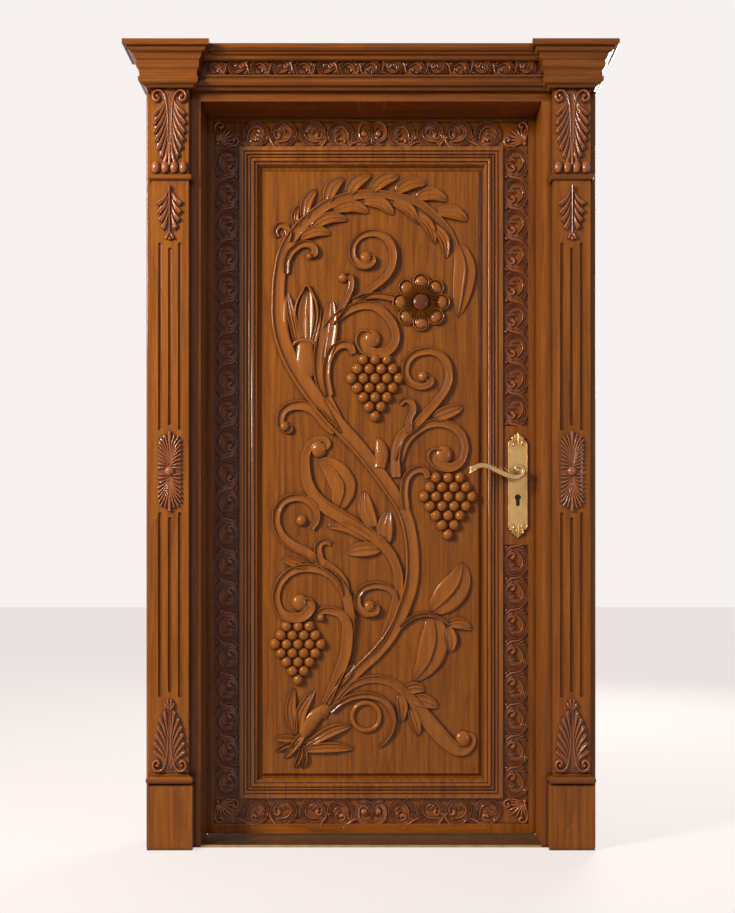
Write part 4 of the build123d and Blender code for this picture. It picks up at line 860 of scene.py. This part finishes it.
def corner_scroll():
    """The corner of the border: leaves that fan into the corner from two small scrolls."""
    parts = []
    for index in range(9):
        share = index / 4 - 1
        angle = math.pi * 0.75 - share * 0.95
        reach = 58 - 16 * abs(share)
        bend = angle - share * 0.22
        points = [(26 + 6 * math.cos(angle), -26 + 6 * math.sin(angle)),
                  (26 + reach * 0.55 * math.cos(angle), -26 + reach * 0.55 * math.sin(angle)),
                  (26 + reach * math.cos(bend), -26 + reach * math.sin(bend))]
        parts.append(flat_leaf(points, (2, 4.2, 0.8), border_rise * 0.85, "round"))
    for flip in (1, -1):
        curl = [(31, 4), (33, 18), (27, 30), (15, 31), (11, 22), (19, 17)]
        if flip == -1:
            curl = [(-z, -x) for x, z in curl]
        parts.append(flat_strand(curl, (3, 4.2, 4.2), border_rise, "round", 3))
        eye = (19, 21) if flip == 1 else (-21, -19)
        parts.append(dome(eye[0] * mm, eye[1] * mm, 0.0050, border_rise, 0, 14, 8))
    parts.append(dome(0.026, -0.026, 0.0065, border_rise, 0, 16, 8))
    return as_one_mesh(parts)


def unit_row(unit, start, end, count, ground, lead, size=1.0, fans=None):
    """Units along a band from start to end. The first half points the way that lead gives, the
    second half the other way; in a cross band a lead of less than 1 leaves the units leaning."""
    parts = []
    along_z = abs(end[1] - start[1]) > abs(end[0] - start[0])
    for index in range(count):
        share = (index + 0.5) / count
        x = start[0] + (end[0] - start[0]) * share
        z = start[1] + (end[1] - start[1]) * share
        way = lead if share < 0.5 else -lead
        if along_z:
            parts.append(placed(unit, x, z, ground, 0, math.copysign(1, -x), way, size))
        else:
            swing = 1 if index % 2 else -1
            parts.append(placed(unit, x, z, ground, -way * math.pi / 2, swing, 1, size))
        if fans and index:
            edge = index / count
            fan_x = start[0] + (end[0] - start[0]) * edge
            parts.append(placed(fans, fan_x, z - 0.024 * size, ground, 0, 1, 1, size * 0.85))
    return parts


band_x = 0.405
band_low, band_high = 0.108, 1.934
top_band_z, bottom_band_z = 1.969, 0.073
pad_low, pad_high = 0.815, 1.155
palmette_reach, corner_start = 0.045, 0.365
frieze_z, frieze_reach, frieze_ground = 2.090, 0.445, -0.056


def unit_column(unit, low, high, count, flip_z):
    """Units up the lock side of the leaf, all turned one way."""
    pitch = (high - low) / count
    return [placed(unit, band_x, low + (index + 0.5) * pitch, border_ground, 0, -1, flip_z)
            for index in range(count)]


def border_carving():
    """The four bands of the leaf's border, and the frieze, from one set of ornaments."""
    unit, leaf_fan = scroll_unit(), fan(5, 0.75, 46, 4)
    centre, corner = palmette(), corner_scroll()
    left = unit_row(unit, (-band_x, band_low), (-band_x, band_high), 21, border_ground, -1)
    joined("border_scrolls_left", left, "leaf", border_wood, ["border_left"])
    right = unit_column(unit, band_low, pad_low, 8, -1)
    right += unit_column(unit, pad_high, band_high, 9, 1)
    joined("border_scrolls_right", right, "leaf", border_wood, ["border_right"])
    for name, z, tip in (("top", top_band_z, 1), ("bottom", bottom_band_z, -1)):
        parts = [placed(centre, 0, z, border_ground, 0, 1, tip)]
        for side in (-1, 1):
            parts += unit_row(unit, (side * palmette_reach, z), (side * corner_start, z), 4,
                              border_ground, 0.5, 0.95, leaf_fan)
            parts.append(placed(corner, side * band_x, z, border_ground, 0, side, tip))
        joined("border_scrolls_" + name, parts, "leaf", border_wood, ["border_" + name])
    frieze = unit_row(unit, (-frieze_reach, frieze_z), (frieze_reach, frieze_z), 15,
                      frieze_ground, 1, 0.62, leaf_fan)
    joined("frieze_scrolls", frieze, "frame", frieze_wood, ["frieze_carving"])
    for model in (unit, leaf_fan, centre, corner):
        bpy.data.objects.remove(model)


border_carving()


# Ornaments of the pilasters, each drawn in millimetres from its foot

pilaster_x = 0.538
pilaster_ground = -0.055
ornament_rise = 0.011
bead_row_z = 1.8265
bead_pitch = 0.0243


def feather(tip_x, tip_z, length, rise, foot_x=3, half=3.6):
    """A lobe in two ridges: it leaves the stem, runs along it and bends out to a round tip."""
    parts = []
    for inset, wide, high in ((0, half, rise), (0.62 * half + 1.6, half * 0.55, rise * 0.86)):
        reach, top = abs(tip_x) - inset * 0.8, tip_z + inset * 0.8
        side = 1 if tip_x > 0 else -1
        line = [(foot_x, top - length), (foot_x + reach * 0.17, top - length * 0.66),
                (foot_x + (reach - foot_x) * 0.52, top - length * 0.32),
                (reach - 2, top - 5), (reach, top)]
        parts.append(flat_strand([(side * x, z) for x, z in line],
                                 (1.0, wide * 0.6, wide * 0.95, wide, 1.0), high, "round", 3))
    return parts


def volute(side, stem):
    """The long ridge of a leaf's stem, which ends in a curl and a ball at the foot."""
    curl = [(27, 22), (33, 31), (42, 25), (42, 11), (31, 3), (18, 9), (9, 34)] + stem
    halves = (4.5, 4.6, 4.4, 4, 3.6, 3.4, 3.2, 2.8, 2.2, 1.2)
    return [flat_strand([(side * x, z) for x, z in curl], halves, ornament_rise, "round", 4),
            dome(side * 0.0325, 0.0185, 0.0066, ornament_rise * 1.05, 0, 16, 10)]


def leaf_body(widths, rise):
    """The low rounded body of a leaf, given its half width at each height."""
    return flat_strand([(0, z) for z, half in widths], [half for z, half in widths], rise,
                       "round", 2)


def base_leaf():
    """The leaf over a plinth: lobes that rise and bend out, and a knot of curls at the tip."""
    parts = [leaf_body(((3, 12), (14, 18), (34, 33), (60, 38), (110, 33), (145, 24), (168, 10)),
                       0.0038)]
    tips = ((43, 60), (41.5, 83), (38, 105), (33.5, 126), (27, 146), (16, 165))
    for side in (-1, 1):
        parts += volute(side, [(4.5, 74), (3.5, 120), (2.5, 165)])
        for x, z in tips:
            parts += feather(side * x, z, min(84, z - 4), ornament_rise * 0.86, 3.5, 4.2)
    for x, z in ((-11, 181), (11, 181), (-5, 192), (5, 192)):
        parts.append(flat_strand([(x * 0.15, 166), (x * 0.7, (z + 168) / 2), (x, z)],
                                 (2, 4.5, 4.5), ornament_rise * 0.8, "round", 2))
    for x, z in ((-11, 182), (11, 182), (-4.5, 192), (4.5, 192)):
        parts.append(dome(x * mm, z * mm, 0.0046, 0.0085, 0, 12, 8))
    return as_one_mesh(parts)


def top_leaf():
    """The leaf under a capital, drawn from the top: it stays wide, and ends in broad lobes."""
    parts = [leaf_body(((2, 16), (20, 26), (40, 38), (100, 40), (150, 33), (185, 20), (198, 8)),
                       0.0038)]
    tips = ((42, 70), (43.5, 94), (42, 117), (38.5, 139), (33, 161), (25, 182))
    for side in (-1, 1):
        parts += volute(side, [(5.5, 74), (4, 130), (3, 190)])
        for x, z in tips:
            parts += feather(side * x, z, min(88, z - 8), ornament_rise * 0.86, 4, 4.4)
        parts.append(flat_strand([(side * 3, 140), (side * 8, 175), (side * 14, 196)],
                                 (2, 6, 5), ornament_rise * 0.8, "round", 3))
    parts.append(flat_strand([(0, 120), (0, 170), (0, 203)], (2, 5, 5), ornament_rise * 0.8,
                             "round", 3))
    return as_one_mesh(parts)


def drop_leaf():
    """The small hanging leaf, drawn from its stem at the top."""
    parts = [leaf_body(((0, 6), (14, 10), (40, 27), (75, 24), (110, 16), (132, 7)), 0.0032),
             flat_strand([(0, 0), (0, 60), (0, 136)], (3, 2.8, 2), ornament_rise * 0.95,
                         "round", 3)]
    tips = ((33, 52), (31, 75), (27, 96), (20, 116))
    for side in (-1, 1):
        for x, z in tips:
            parts += feather(side * x, z, min(56, z - 6), ornament_rise * 0.85, 2, 5.2)
        parts.append(flat_strand([(side * 1, 122), (side * 6, 134), (side * 10, 142)],
                                 (2, 4.5, 4), ornament_rise * 0.8, "round", 2))
    parts.append(dome(0, 0.141, 0.0055, 0.009, 0, 14, 8))
    return as_one_mesh(parts)


def long_rosette():
    """The long rosette between the flutes: petals that fan up and down from a button."""
    parts = []
    tips = ((13, 98), (24, 94), (30, 84), (31, 71), (31, 58), (31, 45), (31, 32), (31, 19),
            (31, 7))
    for up in (-1, 1):
        parts.append(flat_strand([(0, up * 10), (0, up * 50), (0, up * 88), (0, up * 107)],
                                 (2, 3, 5.5, 5), ornament_rise * 0.8, "round", 3))
        body = [(0, up * z) for z in (0, 40, 80, 96)]
        parts.append(flat_strand(body, (31, 31, 29, 16), 0.0030, "round", 2))
        for side in (-1, 1):
            for x, z in tips:
                line = [(side * 2, up * (5 + 0.12 * z)), (side * x * 0.22, up * (6 + 0.42 * z)),
                        (side * x * 0.60, up * (4 + 0.76 * z)), (side * x, up * z)]
                parts.append(flat_strand(line, (1.2, 2.4, 3.6, 2.8), ornament_rise * 0.8,
                                         "round", 3))
    parts.append(dome(0, 0, 0.0145, 0.0145, 0, 28, 16))
    return as_one_mesh(parts)


def bead():
    """One bead, taller than it is wide."""
    bpy.ops.mesh.primitive_uv_sphere_add(segments=20, ring_count=12, radius=0.0122)
    ball = bpy.context.object
    ball.scale = (1, 1.05, 1.4)
    bpy.ops.object.transform_apply(location=True, rotation=True, scale=True)
    return ball


def pilaster_ornaments():
    """The leaves, drops, rosettes and beads of both pilasters."""
    base, top, drop = base_leaf(), top_leaf(), drop_leaf()
    rosette, ball = long_rosette(), bead()
    places = (
        ("base_leaf_carvings", base, 0.2085, 1, "base_leaves"),
        ("top_leaf_carvings", top, 2.034, -1, "top_leaves"),
        ("leaf_drop_carvings", drop, 1.777, -1, "leaf_drops"),
        ("rosettes", rosette, 1.0134, 1, "paterae"),
    )
    for name, model, z, flip, replaced in places:
        parts = [placed(model, side * pilaster_x, z, pilaster_ground, 0, side, flip)
                 for side in (-1, 1)]
        joined(name, parts, "frame", ornament_wood, [replaced])
    beads = []
    for side in (-1, 1):
        for index in range(4):
            across = side * (pilaster_x + (index - 1.5) * bead_pitch)
            beads.append(placed(ball, across, bead_row_z, pilaster_ground))
    joined("beads", beads, "frame", ornament_wood, ["bead_rows"])
    for model in (base, top, drop, rosette, ball):
        bpy.data.objects.remove(model)


# The lock's plates and levers

lock_x = 0.410
spindle_z = 1.025
plate_low, plate_high = 0.837, 1.133
front_plate_y = 0.076
leaf_middle_y = 0.105
lever_standoff = 0.046
crest_drop = 0.038


def plate_crest():
    """The leafy end of a lock plate, drawn up from its ear line."""
    parts = []
    for side in (-1, 1):
        outer = [(side * 26, -2), (side * 24, 10), (side * 14, 12), (side * 12, 3), (side * 18, 1)]
        inner = [(side * 2, 6), (side * 6, 20), (side * 13, 24), (side * 15, 17), (side * 9, 16)]
        for curl in (outer, inner):
            parts.append(flat_strand(curl, (1.6, 2.8, 2.4), 0.0042, "round"))
        for tip in ((24, 15), (19, 24), (10, 32)):
            parts.append(flat_leaf([(side * tip[0] * 0.3, tip[1] * 0.4),
                                    (side * tip[0] * 0.7, tip[1] * 0.8),
                                    (side * tip[0], tip[1])], (1, 2.6, 0.8), 0.0042))
        parts.append(dome(side * 0.026, 0.001, 0.0028, 0.003, 0, 12, 6))
    parts.append(flat_leaf([(0, 0), (0, 18), (0, 36)], (2, 4.5, 1), 0.0048))
    return as_one_mesh(parts)


def plate_edging():
    """Raised edges and an inner line on the flat of a lock plate."""
    parts = []
    tall = 108
    for side in (-1, 1):
        parts.append(flat_strand([(side * 26, -tall), (side * 26, 0), (side * 26, tall)],
                                 (1.6, 1.6), 0.0022, "round", 1))
        parts.append(flat_strand([(side * 21, -tall + 6), (side * 21, 0), (side * 21, tall - 6)],
                                 (0.8, 0.8), 0.0010, "round", 1))
        for up in (-1, 1):
            parts.append(flat_strand([(side * 21, up * (tall - 6)), (side * 12, up * (tall + 2)),
                                      (0, up * (tall + 8))], (0.8, 0.8), 0.0010, "round", 2))
    return as_one_mesh(parts)


def lever_shape():
    """The lever: a scroll at the hub, an S-shaped grip and a leafy tip, round its own middle."""
    grip = [(-6, -4), (-12, -1), (-11, 7), (-3, 10), (7, 7), (11, -3), (6, -14), (-7, -20),
            (-26, -18), (-47, -10), (-68, 0), (-88, 9), (-104, 12), (-120, 8), (-134, -2)]
    halves = (2.4, 3, 4, 4.6, 5.2, 6, 6.8, 7.2, 7.4, 7.4, 7.2, 7.2, 7.4, 7.4, 6)
    parts = [flat_strand(grip, halves, 0.0042, "tube", 6)]
    for turn in range(-3, 4):
        x = -52 - turn * 13
        z = 4 - 7 * math.sin((x + 60) / 40)
        parts.append(flat_strand([(x - 5, z + 5), (x, z), (x + 5, z - 6)], (0.9, 1.2, 0.9),
                                 0.0014, "round", 2, -0.0030))
    for up in (-1, 0, 1):
        parts.append(flat_leaf([(-118, 6 + up * 3), (-130, 2 + up * 6), (-140, -4 + up * 7)],
                               (2, 4.5, 0.8), 0.0042, "round", 2))
    parts.append(dome(-0.004, -0.001, 0.006, 0.0044, 0, 20, 12))
    return as_one_mesh(parts)


def facing(part, side, y):
    """The part turned to one face of the leaf and moved to its level of Y."""
    part.data.transform(Matrix.Diagonal((1, side, 1, 1)))
    part.data.transform(Matrix.Translation((0, y, 0)))
    return part


def lock_furniture():
    """The relief of the lock plates, and the levers with their necks, on both faces."""
    crest, edging, lever_model = plate_crest(), plate_edging(), lever_shape()
    middle_z = (plate_low + plate_high) / 2
    for side, face in ((1, "front"), (-1, "rear")):
        plate_y = leaf_middle_y - side * (leaf_middle_y - front_plate_y)
        lever_y = plate_y - side * lever_standoff
        parts = [placed(crest, lock_x, plate_high - crest_drop, 0),
                 placed(edging, lock_x, middle_z, 0),
                 placed(crest, lock_x, plate_low + crest_drop, 0, 0, 1, -1)]
        parts = [facing(part, side, plate_y) for part in parts]
        joined("plate_ornament_" + face, parts, "leaf", brass)
        parts = [facing(placed(lever_model, lock_x, spindle_z, 0), side, lever_y)]
        for radius, depth, y in ((0.0085, lever_standoff, (plate_y + lever_y) / 2),
                                 (0.0125, 0.003, plate_y - side * 0.0016),
                                 (0.0105, 0.004, plate_y - side * 0.005)):
            bpy.ops.mesh.primitive_cylinder_add(vertices=32, radius=radius, depth=depth,
                                                location=(lock_x, y, spindle_z),
                                                rotation=(math.pi / 2, 0, 0))
            bpy.ops.object.transform_apply(location=True, rotation=True, scale=True)
            parts.append(bpy.context.object)
        joined("lever_grip_" + face, parts, "lever_set", bronze, ["lever_" + face])
    for model in (crest, edging, lever_model):
        bpy.data.objects.remove(model)


pilaster_ornaments()
lock_furniture()


# Screws of the hinges, the forend and the strike plate, which stand a hair out of their metal

hinge_levels = (0.260, 1.020, 1.780)
hinge_plate_y = 0.1162
hinge_screw_spacing = 0.034
leaf_edge = 0.470
jamb_face = 0.473
forend_z = 1.010
forend_screw_reach = 0.109
screw_proud = 0.0001


def screw_head():
    """A countersunk head with a slot, on its back at the origin and facing +X."""
    bpy.ops.mesh.primitive_cylinder_add(vertices=20, radius=0.0036, depth=0.0004,
                                        rotation=(0, math.pi / 2, 0))
    head = bpy.context.object
    bpy.ops.object.transform_apply(location=True, rotation=True, scale=True)
    bpy.ops.mesh.primitive_cube_add(size=1, location=(0.0003, 0, 0))
    slot = bpy.context.object
    slot.scale = (0.0004, 0.0010, 0.0056)
    bpy.ops.object.transform_apply(location=True, rotation=True, scale=True)
    cut = head.modifiers.new("slot", "BOOLEAN")
    cut.operation, cut.solver, cut.object = "DIFFERENCE", "EXACT", slot
    bpy.context.view_layer.objects.active = head
    bpy.ops.object.modifier_apply(modifier="slot")
    bpy.data.objects.remove(slot)
    return head


def screws():
    """Screw heads where each metal plate is fixed. The last value of a place is its way in X."""
    head = screw_head()
    hinge_leaf, hinge_frame, lock_heads, strike_heads = [], [], [], []
    for level in hinge_levels:
        for up in (-hinge_screw_spacing, 0, hinge_screw_spacing):
            y = hinge_plate_y + (0.007 if up else -0.007)
            hinge_leaf.append((-leaf_edge, y, level + up, -1))
            hinge_frame.append((-jamb_face, y, level + up, 1))
    for up in (-forend_screw_reach, forend_screw_reach):
        lock_heads.append((leaf_edge, leaf_middle_y, forend_z + up, 1))
        strike_heads.append((jamb_face, leaf_middle_y, forend_z + up, -1))
    for name, places, body in (("hinge_screws_leaf", hinge_leaf, "leaf"),
                               ("hinge_screws_frame", hinge_frame, "frame"),
                               ("forend_screws", lock_heads, "leaf"),
                               ("strike_screws", strike_heads, "frame")):
        parts = [placed(head, x + way * screw_proud, z, y, 0, way) for x, y, z, way in places]
        joined(name, parts, body, steel, (), 30)
    bpy.data.objects.remove(head)


screws()


# Floor, light and camera

def sees_backdrop(tree, path):
    """1 for what the camera sees, straight on or in metal and varnish, and 0 for the light."""
    seen = math_node(tree, "MAXIMUM", path.outputs["Is Camera Ray"], path.outputs["Is Glossy Ray"])
    return math_node(tree, "MAXIMUM", seen, path.outputs["Is Transmission Ray"])


def backdrop_material():
    """A pale floor that keeps shadows, and glows only for what is seen."""
    material, tree, shader = start_material("pale_floor")[:3]
    shader.inputs["Roughness"].default_value = 0.8
    shader.inputs["Base Color"].default_value = (0.22, 0.21, 0.205, 1)
    path = tree.nodes.new("ShaderNodeLightPath")
    glow = tree.nodes.new("ShaderNodeEmission")
    glow.inputs["Color"].default_value = (0.68, 0.64, 0.63, 1)
    seen = sees_backdrop(tree, path)
    both = tree.nodes.new("ShaderNodeAddShader")
    mix = tree.nodes.new("ShaderNodeMixShader")
    tree.links.new(shader.outputs[0], both.inputs[0])
    tree.links.new(glow.outputs[0], both.inputs[1])
    tree.links.new(seen, mix.inputs[0])
    tree.links.new(shader.outputs[0], mix.inputs[1])
    tree.links.new(both.outputs[0], mix.inputs[2])
    tree.links.new(mix.outputs[0], tree.nodes["Material Output"].inputs["Surface"])
    return material


def stage():
    """The floor, which isn't part of the door."""
    bpy.ops.mesh.primitive_plane_add(size=30, location=(0, 0, 0))
    floor = bpy.context.object
    floor.name = "floor"
    bpy.ops.object.transform_apply(location=True, rotation=True, scale=True)
    floor.data.materials.append(backdrop_material())


def area_light(name, place, target, size, power, colour=(1, 1, 1)):
    """A rectangular lamp at a place, turned to a target."""
    bpy.ops.object.light_add(type="AREA", location=place)
    lamp = bpy.context.object
    lamp.name = name
    lamp.data.shape = "RECTANGLE"
    lamp.data.size, lamp.data.size_y = size
    lamp.data.energy = power
    lamp.data.color = colour
    way = Vector(target) - Vector(place)
    lamp.rotation_euler = way.to_track_quat("-Z", "Y").to_euler()


def world_light():
    """A pale backdrop for what is seen, and a warm dim room for the light."""
    world = bpy.data.worlds.new("studio")
    bpy.context.scene.world = world
    world.use_nodes = True
    tree = world.node_tree
    tree.nodes.clear()
    out = tree.nodes.new("ShaderNodeOutputWorld")
    path = tree.nodes.new("ShaderNodeLightPath")
    seen = tree.nodes.new("ShaderNodeBackground")
    seen.inputs["Color"].default_value = (0.93, 0.88, 0.87, 1)
    room = tree.nodes.new("ShaderNodeBackground")
    place = tree.nodes.new("ShaderNodeTexCoord")
    parts = tree.nodes.new("ShaderNodeSeparateXYZ")
    tree.links.new(place.outputs["Generated"], parts.inputs[0])
    rise = map_range(tree, parts.outputs["Z"], 0.10, 0.34)
    colour = mix_colours(tree, rise, (0.06, 0.028, 0.014, 1), (0.95, 0.70, 0.58, 1))
    tree.links.new(colour, room.inputs["Color"])
    room.inputs["Strength"].default_value = 0.24
    mix = tree.nodes.new("ShaderNodeMixShader")
    tree.links.new(sees_backdrop(tree, path), mix.inputs[0])
    tree.links.new(room.outputs[0], mix.inputs[1])
    tree.links.new(seen.outputs[0], mix.inputs[2])
    tree.links.new(mix.outputs[0], out.inputs["Surface"])


def camera():
    """A level camera in front of the door, a little right of its middle."""
    photo_width, photo_height = 735, 913
    focal_length_px = 1091
    axis_x, axis_y = 378, 560
    bpy.ops.object.camera_add(location=(0.019, -2.975, 0.776), rotation=(math.pi / 2, 0, 0))
    view = bpy.context.object
    view.data.sensor_width = 36
    view.data.lens = 36 * focal_length_px / photo_height
    view.data.shift_x = (photo_width / 2 - axis_x) / photo_height
    view.data.shift_y = (axis_y - photo_height / 2) / photo_height
    bpy.context.scene.camera = view


for shape in sections.values():
    bpy.data.objects.remove(shape)
stage()
area_light("left_softbox", (-2.9, -2.2, 2.6), (0, 0, 1.3), (0.8, 1.3), 215, (1, 0.93, 0.86))
area_light("right_softbox", (2.3, -2.8, 1.2), (0, 0, 1.0), (0.5, 1.8), 16, (1, 0.92, 0.84))
area_light("rear_softbox", (1.6, 3.2, 2.4), (0, 0, 1.1), (1.4, 1.4), 90, (1, 0.94, 0.88))
world_light()
camera()
bpy.context.scene.view_settings.view_transform = "Standard"
